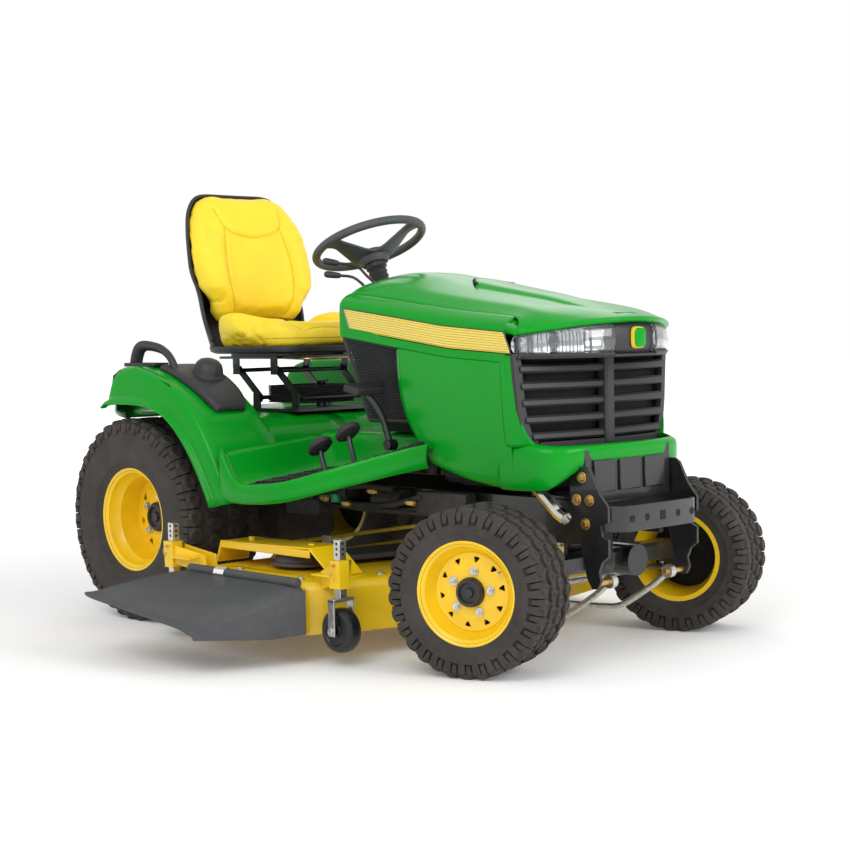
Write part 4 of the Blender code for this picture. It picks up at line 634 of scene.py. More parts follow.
def make_grille():
    bm = bmesh.new()
    section = [(-0.002, 0.012), (0.012, 0.011), (0.017, 0.004), (0.012, -0.006), (-0.004, -0.013),
               (-0.012, -0.006), (-0.01, 0.006)]
    for bank in (-1, 1):
        for k in range(5):
            z = 0.628 + k * 0.0465
            half = interp(z, [(0.6, 0.25), (0.64, 0.286), (0.7, 0.304), (0.86, 0.316)])
            run = [Vector((bank * x, front_y(x), z)) for x in np.linspace(0.018, half, 10)]
            sweep(bm, run[::-bank], section)
    for half, z0, z1 in ((0.32, 0.842, 0.858), (0.258, 0.59, 0.612)):
        corners = ((z0, 0.012), (z0, -0.012), (z1, -0.012), (z1, 0.012))
        grid(bm, [[(x, front_y(x) + out, z) for x in np.linspace(-half, half, 16)] for z, out in corners],
             close=True)
    post = ((0.01, 0.022), (-0.014, 0.02), (-0.02, 0.012), (-0.02, -0.012), (-0.014, -0.02),
            (0.01, -0.022))
    grid(bm, [[(x, front_y(0) + out, z) for z in (0.6, 0.7, 0.855)] for out, x in post], close=True)
    for s in (-1, 1):
        run = []
        for z in np.linspace(0.596, 0.856, 8):
            x = interp(z, [(0.596, 0.258), (0.64, 0.294), (0.7, 0.308), (0.86, 0.322)])
            run.append(Vector((s * x, front_y(x) + 0.002, z)))
        sweep(bm, run, [(-0.008, -0.012), (0.008, -0.012), (0.008, 0.014), (-0.008, 0.014)])
    piece("grille_bars", bm, PLASTIC, "hood", ("grille",), bevel=0.0012)
    # A flat sheet in painted shade behind the grille bars.
    rows = [[(x, front_y(x) + 0.024, z) for x in np.linspace(-0.303, 0.303, 12)] for z in (0.596, 0.72, 0.86)]
    sheet("grille_shade_sheet", rows, PAINTED_SHADE, "hood", wall=0.003)
    make_badge()
    make_shelf()


def make_badge():
    """A plain rounded square in its dark housing between the lamps."""
    rows = [[(x, -1.634 + out + 0.16 * x * x / 0.085, z) for x in np.linspace(-0.086, 0.086, 9)]
            for z, out in ((0.846, 0.012), (0.858, 0.0), (0.905, -0.004), (0.934, 0.004), (0.946, 0.03))]
    sheet("badge_housing", rows, PLASTIC, "hood", up=(1, -1), wall=0.02, sub=1)
    for name, paint, profile in (
        ("badge", YELLOW, [(0.0, 0.009), (0.02, 0.008), (0.026, 0.004), (0.028, -0.004), (0.0, -0.004)]),
        ("badge_face", GREEN, [(0.0, 0.0098), (0.02, 0.0095), (0.0242, 0.007), (0.0242, 0.002),
                               (0, 0.002)]),
    ):
        bm = bmesh.new()
        lathe(bm, profile, 48, closed=False)
        for vert in bm.verts:
            reach = vert.co.xy.length
            if reach > 0.001:
                across, along = vert.co.xy / reach
                square = (across ** 4 + along ** 4) ** -0.25
                vert.co.x *= square
                vert.co.y *= 1.1 * square
        bm.transform(placed((0, -1.64, 0.894), 90))
        piece(name, bm, paint, "hood")


def make_shelf():
    """The dark tray under the lamps, back to the grille."""
    rows = []
    for t in (0, 1):
        row = []
        for x in np.linspace(-0.322, 0.322, 25):
            front = lip_y(x) + 0.014
            y = front + (front_y(min(0.3, abs(x))) - 0.004 - front) * t
            row.append((x, y, 0.85 - 0.004 * t))
        rows.append(row)
    sheet("lamp_shelf", rows, PLASTIC, "hood", up=(2, 1), wall=0.008)


def make_lamps():
    for name, s in SIDES:
        xs = np.linspace(0.09, 0.32, 19)
        rows = []
        for t in np.linspace(0, 1, 6):
            row = []
            for x in xs:
                top = interp(x, [(0.0, 0.938), (0.17, 0.928), (0.33, 0.905)])
                row.append((s * x, lip_y(x) + 0.017 - 0.008 * sin(pi * t), 0.852 + (top - 0.852) * t))
            rows.append(row)
        sheet(f"lamp_lens_{name}", rows, LENS, "hood", (f"headlight_{name}",), up=(1, -1), wall=0.003)
        rows = []
        for t in np.linspace(0, 1, 9):
            row = []
            for k, x in enumerate(np.linspace(0.092, 0.314, 79)):
                top = interp(x, [(0.0, 0.936), (0.17, 0.926), (0.33, 0.903)])
                rib = 0.0035 * (k % 2) if 0.15 < x < 0.285 else 0.0
                bowl = 0.026 * sin(pi * t) ** 0.6
                row.append((s * x, lip_y(x) + 0.024 + bowl - rib, 0.853 + (top - 0.853) * t))
            rows.append(row)
        sheet(f"lamp_reflector_{name}", rows, MIRROR, "hood", up=(1, -1), wall=0.002, angle=20)
        bm = bmesh.new()
        for x in (0.145, 0.29):
            stick(bm, (s * x, lip_y(x) + 0.026, 0.854), (s * x, lip_y(x) + 0.03, 0.918), 0.004, 8)
        for k in range(7):
            x = 0.165 + k * 0.018
            stick(bm, (s * x, lip_y(x) + 0.024, 0.862), (s * x, lip_y(x) + 0.026, 0.912), 0.0016, 6)
        tube(bm, [(s * x, lip_y(x) + 0.014, 0.8505) for x in xs], 0.0045, 8, per=0)
        tube(bm, [(s * xs[-1], lip_y(xs[-1]) + 0.014, z) for z in (0.85, 0.875, 0.903)], 0.0045, 8, per=0)
        lathe(bm, [(0, 0.004), (0.016, 0.002), (0.017, -0.004), (0, -0.004)], 24,
              placed((s * 0.235, lip_y(0.235) + 0.034, 0.886), 90), closed=False)
        piece(f"lamp_trim_{name}", bm, PLASTIC, "hood")


# ---- wheels ----
def wheel_matrix(side, front):
    """Puts a wheel, turned about Z with its outer flange at height 0, in its place."""
    s = dict(SIDES)[side]
    if front:
        out = Vector((s * cos(STEER), s * sin(STEER), 0))
        hub = Vector((s * 0.435, -WHEELBASE, FRONT_TYRE[0])) + out * 0.12
    else:
        out = Vector((s, 0, 0))
        hub = Vector((s * 0.5665, 0, REAR_TYRE[0]))
    up = Vector((0, 0, 1))
    turn = Matrix((up.cross(out), up, out)).transposed().to_4x4()
    turn.translation = hub
    return turn


def tyre(end, side):
    """Turned carcass with rows of raised lugs. The wheel's outer flange is at height 0."""
    top, width, rim_r, mid, rim_wide, count = FRONT_TYRE if end == "front" else REAR_TYRE
    base = top - 0.01
    turn = wheel_matrix(side, end == "front")
    half, seat = width / 2, rim_wide / 2
    prof = [(rim_r - 0.01, seat - 0.002), (rim_r + 0.004, seat + 0.003), (rim_r + 0.014, half - 0.01),
            (rim_r + 0.022, half - 0.004), (rim_r + 0.03, half - 0.004), ((rim_r + top) / 2, half - 0.001),
            (top - 0.05, half - 0.003), (top - 0.03, half - 0.012), (base - 0.01, half - 0.026),
            (base - 0.002, half * 0.62), (base, half * 0.3), (base, 0)]
    prof += [(r, -h) for r, h in reversed(prof[:-1])]
    prof += [(rim_r - 0.014, -seat + 0.03), (rim_r - 0.014, seat - 0.03)]
    bm = bmesh.new()
    lathe(bm, [(r, h + mid) for r, h in prof], 96, turn)
    step = 2 * pi / count
    for k in range(count):
        a = k * step
        for share, shift in ((0.15, 0.0), (-0.15, 0.5), (0.44, 0.5), (-0.44, 0.0)):
            lug(bm, turn, a + step * shift, share * width * 0.86 + mid, base, top, 0.4 * top * step,
                0.052 * width)
        for s in (-1, 1):
            for part in (0.0, 0.5):
                wedge(bm, turn, a + step * (part + (0.25 if s > 0 else 0)), s, half, mid, top, step,
                      long=part == 0.0)
    piece(f"{end}_{side}_tyre", bm, RUBBER, BODY_OF_WHEEL[end, side], (f"{end}_tyre_{side}",), angle=30)


def on_tyre(bm, turn, radius, angle, height):
    return bm.verts.new(turn @ Vector((radius * cos(angle), radius * sin(angle), height)))


def lug(bm, turn, angle, height, base, top, along, across):
    """A round button with a dished top on the tread."""
    rings = [[on_tyre(bm, turn, radius, angle + along * grow * c / top, height + 1.5 * across * grow * s)
              for c, s in circle(1, 10)]
             for grow, radius in ((1.12, base - 0.003), (1.0, top - 0.002), (0.86, top), (0.42, top),
                                  (0.34, top - 0.003))]
    skin(bm, rings)
    bm.faces.new(rings[-1])


def wedge(bm, turn, angle, s, half, mid, top, step, long):
    """A block that wraps from the tread's edge down over the shoulder."""
    drop = 0.046 if long else 0.032
    stations = ((top - 0.001, half * 0.66, 0.75), (top - 0.001, half * 0.8, 1), (top - 0.016, half * 0.955, 1),
                (top - drop, half, 0.8))
    rows = []
    for k, (radius, height, share) in enumerate(stations):
        wide = (0.3 if long else 0.19) * step * share
        n = Vector((1, 0.35 * k)).normalized()
        edge, foot = (radius, height), (radius - 0.012 * n.x, height - 0.012 * n.y)
        rows.append([on_tyre(bm, turn, r, angle + wide * t, s * h + mid)
                     for t, (r, h) in ((-1, foot), (-0.86, edge), (0.86, edge), (1, foot))])
    skin(bm, rows, closed=False, caps=True)


def rim(end, side):
    """Dished disc and barrel with vents cut through, then the nuts, the valve and the hub cap."""
    front = end == "front"
    turn = wheel_matrix(side, front)
    name, body = f"{end}_{side}", BODY_OF_WHEEL[end, side]
    R, W, disc, hub, face = (0.1425, 0.178, 0.046, 0.04, 0.036) if front else (
        0.168, 0.255, 0.118, 0.05, 0.106)
    seat = R - 0.014
    prof = [(R, 0.001), (R + 0.001, -0.005), (R - 0.003, -0.0075), (seat, -0.011), (seat - 0.002, -0.03),
            (seat - 0.016, -0.046), (seat - 0.016, 0.046 - W), (seat - 0.002, 0.03 - W),
            (seat, 0.011 - W), (R, 0.006 - W), (R, -W), (seat - 0.006, 0.002 - W),
            (seat - 0.021, 0.05 - W), (seat - 0.022, -disc - 0.006), (seat - 0.04, -disc - 0.004),
            (hub + 0.03, -face - 0.006), (hub - 0.008, -face - 0.006), (hub - 0.01, -face),
            (hub + 0.028, -face), (hub + 0.033, -face - 0.001), (seat - 0.034, -disc + 0.001),
            (seat - 0.024, -disc + 0.003), (seat - 0.02, -0.046), (seat - 0.007, -0.028),
            (seat - 0.004, -0.01), (R - 0.008, -0.0005), (R - 0.004, 0.0018)]
    bm = bmesh.new()
    lathe(bm, prof, 72)
    shell = piece(f"{name}_rim", bm, YELLOW, body, (f"{end}_rim_{side}",), place=False, angle=32)
    cutter = bmesh.new()
    count, ring, size = (10, 0.089, 0.0095) if front else (8, 0.104, 0.014)
    for k in range(count):
        a = 2 * pi * (k + 0.25) / count
        shape = []
        for j in range(3):
            q = a + pi + 2 * pi * j / 3
            for d in (-0.32, 0, 0.32):
                grow = size * (0.86 if d else 1.0)
                shape.append((ring * cos(a) + grow * cos(q + d), ring * sin(a) + grow * sin(q + d)))
        prism(cutter, shape, -disc - 0.05, -face + 0.05)
    bmesh.ops.recalc_face_normals(cutter, faces=cutter.faces)
    mesh = bpy.data.meshes.new("vents")
    cutter.to_mesh(mesh)
    cutter.free()
    tool = bpy.data.objects.new("vents", mesh)
    bpy.context.scene.collection.objects.link(tool)
    step = add(shell, "BOOLEAN", operation="DIFFERENCE", solver="EXACT", object=tool)
    graph = bpy.context.evaluated_depsgraph_get()
    made = bpy.data.meshes.new_from_object(shell.evaluated_get(graph))
    shell.modifiers.remove(step)
    shell.data = made
    bpy.data.objects.remove(tool)
    made.transform(Matrix.Translation(O) @ turn)
    made.shade_smooth()
    made.set_sharp_from_angle(angle=radians(32))

    bm = bmesh.new()
    pitch, nut = (0.058, 0.0095) if front else (0.068, 0.011)
    for k in range(5):
        a = 2 * pi * (k + 0.1) / 5
        spot = Vector((pitch * cos(a), pitch * sin(a), -face))
        for tall, radius, sides in ((0.003, nut * 1.35, 20), (0.013, nut, 6), (0.019, nut * 0.5, 12)):
            stick(bm, turn @ spot, turn @ (spot + Vector((0, 0, tall))), radius, sides)
    valve = Vector(((seat - 0.03) * cos(0.6), (seat - 0.03) * sin(0.6), -disc))
    stick(bm, turn @ valve, turn @ (valve + Vector((0, 0, 0.024))), 0.003, 10)
    piece(f"{name}_nuts", bm, ZINC, body, bevel=0.0008)
    grow = hub + 0.001 if front else hub
    turned(f"{name}_hub_cap", [(grow * r, h - face) for r, h in (
        (0, 0.02), (0.3, 0.02), (0.34, 0.013), (0.62, 0.013), (0.68, 0.021), (0.8, 0.021), (0.95, 0.012),
        (1, -0.004), (0, -0.004))], 40, turn, PLASTIC, body, angle=25)


# ---- fenders, floor and consoles ----
FENDER = [(0.33, 0.64), (0.325, 0.74), (0.29, 0.805), (0.2, 0.824), (0.02, 0.828),
          (-0.12, 0.814), (-0.24, 0.78), (-0.34, 0.724), (-0.42, 0.64), (-0.49, 0.53),
          (-0.547, 0.415)]
LIP = [(0.08, 0.69), (0.072, 0.696), (0.058, 0.7), (0.03, 0.702), (-0.04, 0.702),
       (-0.12, 0.702), (-0.215, 0.69), (-0.29, 0.65), (-0.365, 0.58), (-0.43, 0.49),
       (-0.48, 0.4)]
SEAT_WELL = [(0.33, 0.64), (0.325, 0.655), (0.29, 0.665), (0.2, 0.665), (0.02, 0.665),
             (-0.12, 0.665), (-0.24, 0.665), (-0.355, 0.661), (-0.42, 0.63), (-0.45, 0.56),
             (-0.455, 0.52)]


def fender_line(half, reach=1.0, path=FENDER, sink=0.0):
    points = []
    for y, z in path:
        if y > -0.12:
            y = -0.12 + (y + 0.12) * reach
            z += 0.1 * (1 - reach) * max(0.0, (0.76 - z) / 0.12)
        points.append(Vector((half, y, z - sink)))
    return points


def make_fenders():
    crest = fender_line(0.57, 0.39)
    low = [Vector((0.62, y, z)) for y, z in LIP]
    columns = [[p + Vector((-0.012, 0, 0.012)) for p in low]]
    for half, share in ((0.619, -0.02), (0.622, 0.05), (0.618, 0.14), (0.606, 0.22), (0.603, 0.3),
                        (0.602, 0.72), (0.596, 0.9), (0.584, 0.99)):
        columns.append([Vector((half, *a.lerp(b, share).yz)) for a, b in zip(low, crest)])
    for half, reach in ((0.56, 0.47), (0.5, 0.68), (0.43, 0.88), (0.365, 1.0)):
        columns.append(fender_line(half, reach))
    wells = [fender_line(half, path=SEAT_WELL) for half in (0.336, 0.333, 0.3, 0.0)]
    columns.append(fender_line(0.347, sink=0.006))
    columns.append([a.lerp(b, 0.5) for a, b in zip(fender_line(0.338), wells[0])])
    columns += wells[1:]
    for name, s in SIDES:
        rows = [[(s * p.x, p.y, p.z) for p in column] for column in columns]
        sheet(f"fender_{name}", rows, GREEN, "tractor", ("fender_deck",), up=(2, 1), wall=0.005, sub=2)
        # A sheet in painted shade under each fender.
        rows = []
        for half, drop, reach in ((0.59, 0.01, 0.44), (0.56, 0.022, 0.44), (0.36, 0.022, 0.98)):
            rows.append([(s * half, p.y + (0.02 if i > 5 else -0.008), p.z - drop)
                         for i, p in enumerate(fender_line(half, reach)[1:])])
        sheet(f"fender_underside_shade_{name}", rows, PAINTED_SHADE, "tractor", wall=0.002, angle=60)


FLOOR_STOPS = [-1.118, -1.105, -1.06, -1.0, -0.93, -0.86, -0.79, -0.7, -0.62, -0.585, -0.562, -0.54, -0.506]


def floor_half(y):
    return interp(y, [(-1.12, 0.318), (-1.06, 0.392), (-0.98, 0.478), (-0.88, 0.556), (-0.8, 0.594),
                      (-0.7, 0.603), (-0.575, 0.603), (-0.506, 0.6)])


def floor_z(y):
    return interp(y, [(-1.13, 0.6), (-1.06, 0.578), (-0.98, 0.548), (-0.88, 0.515), (-0.8, 0.489),
                      (-0.7, 0.478), (-0.62, 0.472), (-0.585, 0.476), (-0.562, 0.492), (-0.54, 0.52),
                       (-0.506, 0.575)])


def mat_z(x, y):
    w = floor_half(y)
    return floor_z(y) + 0.004 + 0.028 * min(1, max(0, (w - 0.03 - x) / (w - 0.275)))


def make_floor():
    for name, s in SIDES:
        rows = []
        for y in FLOOR_STOPS:
            w, top = floor_half(y), floor_z(y)
            crown = max(0.612, top + 0.012)
            edge = top - 0.414 if y > -0.6 else interp(y, [(-1.12, 0.07), (-0.9, 0.062), (-0.58, 0.058)])
            row = [(w - inset, top + lift) for inset, lift in (
                (0.02, 0.002 - edge), (0.002, -edge), (-0.001, -edge * 0.5), (0.004, -0.002), (0.012, 0.004),
                (0.022, 0.002), (0.03, -0.009), (0.04, -0.008), (0.09, -0.003))]
            row += [(0.262, top + 0.02), (0.246, top + 0.0215), (0.222, top + 0.026),
                    (0.196, top + (crown - top) * 0.5), (0.186, crown - 0.008), (0.165, crown),
                    (0.06, crown + 0.002), (0, crown + 0.002)]
            rows.append([(s * x, y, z) for x, z in row])
        sheet(f"floor_{name}", rows, GREEN, "tractor", ("footboard",), up=(2, 1), wall=0.004, sub=2)
        rows = [[(s * x, y, mat_z(x, y) - (0.0 if 0 < j < 6 else 0.004))
                 for j, x in enumerate(np.linspace(0.222, floor_half(y) - 0.036, 7))]
                for y in np.linspace(-1.075, -0.606, 22)]
        sheet(f"floor_mat_{name}", rows, MAT, "tractor", up=(2, 1), wall=0.008)
        bm = bmesh.new()
        inner = 0.235
        for k in range(21):
            y = -1.06 + k * 0.022
            span = floor_half(y) - 0.05 - inner
            for j in range(5):
                a, b = inner + span * j / 5 + 0.004, inner + span * (j + 1) / 5 - 0.006
                z = mat_z((a + b) / 2, y) - 0.002
                if b > a + 0.01:
                    near, far = sorted((s * a, s * b))
                    brick(bm, (near, y - 0.005, z), (far, y + 0.005, z + 0.0045))
        piece(f"floor_ribs_{name}", bm, MAT, "tractor", bevel=0.001)
    # A flat sheet in painted shade under the floor.
    rows = [[(x, y, 0.392) for x in (-0.26, 0, 0.26)] for y in (-0.62, -1.0)]
    sheet("belly_shade", rows, PAINTED_SHADE, "tractor", wall=0.004)


def on_fender(y, lift):
    line = sorted(FENDER)
    z = float(np.interp(y, [p[0] for p in line if p[0] < 0.3], [p[1] for p in line if p[0] < 0.3]))
    slope = Vector((1.0, float(np.interp(y + 0.01, *zip(*line)) - np.interp(y - 0.01, *zip(*line))) / 0.02))
    n = Vector((-slope.y, slope.x)).normalized()
    return y + n.x * lift, z + n.y * lift


def make_consoles():
    for name, s in SIDES:
        rows = []
        for y, end in ((-0.382, 0.35), (-0.377, 0.8), (-0.36, 1), (-0.33, 1), (-0.29, 1), (-0.24, 1),
                       (-0.18, 1), (-0.13, 1), (-0.11, 0.8), (-0.105, 0.35)):
            wide = interp(y, [(-0.382, 0.06), (-0.35, 0.078), (-0.24, 0.088), (-0.105, 0.072)])
            tall = interp(y, [(-0.43, 0.022), (-0.3, 0.026), (-0.2, 0.022), (-0.1, 0.016)]) * end
            row = []
            for u, lift in ((-1, 0.0), (-0.98, 0.6), (-0.86, 0.95), (-0.5, 1.0), (0, 1.04), (0.5, 1.0),
                            (0.86, 0.95), (0.98, 0.6), (1, 0.0)):
                yy, z = on_fender(y, 0.0012 + tall * lift)
                row.append((s * (0.452 + u * wide * (0.9 + 0.1 * end)), yy, z))
            rows.append(row)
        sheet(f"console_panel_{name}", rows, PLASTIC, "tractor", (f"console_{name}",), up=(2, 1), wall=0.003,
              sub=2)
        turned(f"console_cap_{name}", [(0.0, 0.062), (0.016, 0.061), (0.03, 0.056), (0.04, 0.046),
                                       (0.046, 0.032), (0.05, 0.014), (0.056, 0.009), (0.057, 0.0),
                                       (0.0, 0.0)],
               40, placed((s * 0.44, -0.25, 0.786), 16), PLASTIC, "tractor", bevel=0.0008, angle=30)
        bm = bmesh.new()
        path = [(0.052, 0.828), (0.042, 0.858), (0.026, 0.88), (-0.004, 0.889), (-0.06, 0.884),
                (-0.105, 0.872), (-0.142, 0.846), (-0.176, 0.796)]
        sweep(bm, smooth_run([(s * 0.5, y, z) for y, z in path], 6), circle(0.021, 14, 0.012))
        brick(bm, (s * 0.5 - 0.03, -0.09, 0.822), (s * 0.5 + 0.03, 0.078, 0.834))
        piece(f"grab_handle_{name}", bm, PLASTIC, "tractor", bevel=0.003, angle=40)


def make_dash():
    rows = []
    for z, w, rear, front in ((0.615, 0.17, -0.79, -0.96), (0.7, 0.205, -0.76, -0.968),
                              (0.8, 0.25, -0.752, -0.972), (0.88, 0.274, -0.745, -0.976),
                              (0.896, 0.272, -0.745, -0.976)):
        rows.append([(x, y, z) for x, y in ((w, rear), (w, front), (0, front), (-w, front), (-w, rear),
                                            (0, rear), (w, rear))])
    sheet("dash_lower", rows, PLASTIC, "tractor", ("dash_tower",), wall=0.004, bevel=0.004)
    rows = []
    for z, w, rear, front in ((0.884, 0.232, -0.69, -0.9), (0.93, 0.236, -0.668, -0.905),
                              (0.968, 0.226, -0.655, -0.9), (1.0, 0.2, -0.654, -0.872),
                              (1.024, 0.165, -0.664, -0.85), (1.036, 0.128, -0.684, -0.84),
                              (1.038, 0.06, -0.72, -0.8)):
        corners = [squared(2 * pi * (k % 24) / 24, 0.45, 0.45) for k in range(25)]
        rows.append([(w * c, (rear + front) / 2 + (rear - front) / 2 * d, z) for c, d in corners])
    sheet("dash_cowl", rows, PLASTIC, "tractor", sub=1)
    bm = bmesh.new()
    for x, r in ((0.0, 0.04), (0.085, 0.022)):
        lathe(bm, [(0, 0.006), (r * 0.9, 0.006), (r, 0.01), (r * 1.12, 0.009), (r * 1.15, -0.004),
                   (0, -0.004)], 32, placed((x, -0.672, 1.016), -55), closed=False)
    piece("dash_gauges", bm, BLACK, "tractor", bevel=0.001)
    for name, s in SIDES:
        make_screen(name, s)


def make_screen(name, s):
    """The mesh screen beside the tower, with its frame and a back sheet in painted shade."""
    corners = [Vector((s * x, y, z)) for x, y, z in ((0.287, -0.737, 0.905), (0.289, -1.0, 0.872),
                                                     (0.252, -0.985, 0.655), (0.246, -0.8, 0.655))]

    def at(u, v):
        return corners[0].lerp(corners[1], u).lerp(corners[3].lerp(corners[2], u), v)

    # The back sheet is in painted shade.
    rows = [[at(u, v) + Vector((-s * 0.01, 0, 0)) for u in (0, 0.5, 1)] for v in (0, 0.5, 1)]
    sheet(f"screen_shade_back_{name}", rows, PAINTED_SHADE, "tractor", wall=0.002)
    bm = bmesh.new()
    for k in range(31):
        stick(bm, at(k / 30, 0.0), at(k / 30, 1.0), 0.0014, 5)
    for k in range(29):
        stick(bm, at(0.0, k / 28), at(1.0, k / 28), 0.0014, 5)
    piece(f"screen_mesh_{name}", bm, PLASTIC, "tractor")
    bm = bmesh.new()
    chain(bm, corners + corners[:1], 0.006, 8)
    piece(f"screen_frame_{name}", bm, PLASTIC, "tractor")


def make_steering():
    axis = Vector((0, sin(radians(23)), cos(radians(23))))
    centre = Vector((0, -0.543, 1.203))
    turn = aimed(centre, axis)
    bm = bmesh.new()
    lathe(bm, [(0.1765 + a, b) for a, b in circle(0.0135, 16)], 72, turn)
    for degrees in (-90, 25, 155):
        a = radians(degrees)
        out = Vector((cos(a), sin(a), 0))
        run = [out * r + Vector((0, 0, h)) for r, h in
               ((0.02, -0.046), (0.055, -0.042), (0.095, -0.024), (0.135, -0.006), (0.172, 0.0))]
        side = Vector((-out.y, out.x, 0))
        rings = []
        for k, p in enumerate(smooth_run(run, 4)):
            t = k / 16
            w = 0.056 - 0.036 * min(1, t * 1.3) + 0.014 * max(0, t - 0.7) * 3.3
            rings.append([bm.verts.new(turn @ (p + side * w * c + Vector((0, 0, 0.0075 * d))))
                          for c, d in ((-1, -0.5), (-1, 0.5), (-0.6, 1), (0.6, 1), (1, 0.5), (1, -0.5),
                                       (0.6, -1), (-0.6, -1))])
        skin(bm, rings, caps=True)
    lathe(bm, [(0.0, -0.024), (0.026, -0.024), (0.042, -0.029), (0.05, -0.038), (0.051, -0.058),
               (0.042, -0.072), (0.0, -0.072)], 40, turn, closed=False)
    piece("steering_rim", bm, GREY, "steering", ("steering_wheel",), angle=45)
    turned("column_boot", [(0.0, 0.0), (0.046, 0.0), (0.044, 0.03), (0.04, 0.055), (0.04, 0.077),
                           (0.0, 0.077)], 32, aimed(centre - axis * 0.29, axis), PLASTIC, "tractor", angle=30)
    prof = [(0.0, 0.0), (0.027, 0.0)]
    for k in range(7):
        prof += [(0.031, 0.006 + k * 0.016), (0.027, 0.014 + k * 0.016)]
    prof += [(0.034, 0.118), (0.034, 0.13), (0.0, 0.13)]
    turned("column_sleeve", prof, 32, aimed(centre - axis * 0.204, axis), PLASTIC, "column",
           ("steering_column",), angle=30)


def make_levers():
    for name, path in (
        ("lift", [(-0.05, -0.64, 1.062), (-0.085, -0.625, 1.095), (-0.11, -0.6, 1.128),
                  (-0.165, -0.56, 1.14)]),
        ("auxiliary", [(-0.095, -0.64, 1.05), (-0.118, -0.628, 1.076), (-0.135, -0.606, 1.094),
                       (-0.172, -0.575, 1.1)])):
        bm = bmesh.new()
        tube(bm, path, 0.0045, 12)
        piece(f"{name}_handle", bm, BLACK, f"lever_{name}", (f"{name}_lever",))
        tip, knee = Vector(path[3]), Vector(path[2])
        run = (tip - knee).normalized()
        turned(f"{name}_handle_grip", [(0, 0), (0.006, 0.0), (0.0085, 0.004), (0.01, 0.018),
                                       (0.0108, 0.034), (0.0105, 0.044), (0.007, 0.051), (0, 0.053)],
               24, aimed(tip - run * 0.014, run), PLASTIC, f"lever_{name}")
    turned("switch_knob", [(0, 0.0016), (0.01, 0.0016), (0.01, 0.016), (0.015, 0.02), (0.019, 0.023),
                           (0.02, 0.028), (0.018, 0.033), (0.012, 0.0365), (0, 0.0375)], 32,
           aimed((-0.15, -0.648, 0.985), Vector((0, 0.96, 0.28)).normalized()), YELLOW, "knob", ("pto_knob",))


def make_pedals():
    for name, path, radius in (
        ("forward", [(-0.405, -0.905, 0.532), (-0.405, -0.89, 0.58), (-0.4, -0.868, 0.632)], 0.008),
        ("reverse", [(-0.425, -0.8, 0.5), (-0.425, -0.782, 0.545), (-0.42, -0.765, 0.588)], 0.008),
        ("brake", [(-0.318, -0.965, 0.59), (-0.322, -0.93, 0.68), (-0.345, -0.885, 0.752)], 0.01)):
        body = f"pedal_{name}"
        foot, pad = Vector(path[0]), Vector(path[2])
        reach = Vector((0.016, 0, 0))
        bm = bmesh.new()
        tube(bm, path, radius, 14)
        stick(bm, foot - reach, foot + reach, radius * 1.6, 16)
        piece(f"{name}_arm", bm, BLACK, body, (f"{name}_pedal",))
        if name != "brake":
            turned(f"{name}_pad", [(0, 0.012), (0.018, 0.0115), (0.029, 0.008), (0.035, 0.0), (0.034, -0.008),
                                   (0.024, -0.014), (0, -0.016)], 40,
                   placed(pad, -38) @ Matrix.Diagonal((1.05, 1.25, 1.2, 1)), MAT, body)
    half = Vector((0.056, 0.033, 0.011))
    tip = Matrix.Rotation(radians(12), 4, "X")
    low, high = pad - half, pad + half
    bm = bmesh.new()
    brick(bm, low, high, tip)
    piece("brake_pad", bm, MAT, body, bevel=0.006, segments=3)
    bm = bmesh.new()
    for k in range(5):
        y = low.y + 2 * half.y * (k + 0.7) / 5.4
        brick(bm, (low.x + 0.008, y, high.z - 0.001), (high.x - 0.008, y + 0.005, high.z + 0.003), tip, pad)
    piece("brake_treads", bm, MAT, body, bevel=0.001)


# ---- seat ----


def stuffed(bm, voxel, cap, pressure=4.0):
    """Remeshes a closed form and lets cloth pressure swell it, with each point's travel capped."""
    bmesh.ops.recalc_face_normals(bm, faces=bm.faces)
    mesh = bpy.data.meshes.new("pad")
    bm.to_mesh(mesh)
    bm.free()
    obj = bpy.data.objects.new("pad", mesh)
    scene = bpy.context.scene
    scene.collection.objects.link(obj)
    add(obj, "REMESH", mode="VOXEL", voxel_size=voxel)
    add(obj, "SMOOTH", factor=0.5, iterations=6)
    graph = bpy.context.evaluated_depsgraph_get()
    solid = bpy.data.meshes.new_from_object(obj.evaluated_get(graph))
    obj.modifiers.clear()
    obj.data = solid
    count = len(solid.vertices)
    rest = np.empty(count * 3)
    solid.vertices.foreach_get("co", rest)
    moved = rest
    cloth = obj.modifiers.new("cloth", "CLOTH")
    cloth.settings.quality = 4
    cloth.settings.mass = 0.4
    cloth.settings.use_pressure = True
    cloth.settings.uniform_pressure_force = pressure
    cloth.settings.effector_weights.gravity = 0
    cloth.point_cache.frame_start = 1
    cloth.point_cache.frame_end = 20
    for number in range(1, 21):
        scene.frame_set(number)
    graph = bpy.context.evaluated_depsgraph_get()
    shown = obj.evaluated_get(graph).to_mesh()
    moved = np.empty(count * 3)
    shown.vertices.foreach_get("co", moved)
    obj.evaluated_get(graph).to_mesh_clear()
    obj.modifiers.clear()
    scene.frame_set(1)
    step = (moved - rest).reshape(-1, 3)
    size = np.linalg.norm(step, axis=1, keepdims=True)
    moved = (rest.reshape(-1, 3) + step * np.minimum(1, cap / np.maximum(size, 1e-9))).ravel()
    solid.vertices.foreach_set("co", moved)
    bm = bmesh.new()
    bm.from_mesh(solid)
    bpy.data.objects.remove(obj)
    return bm


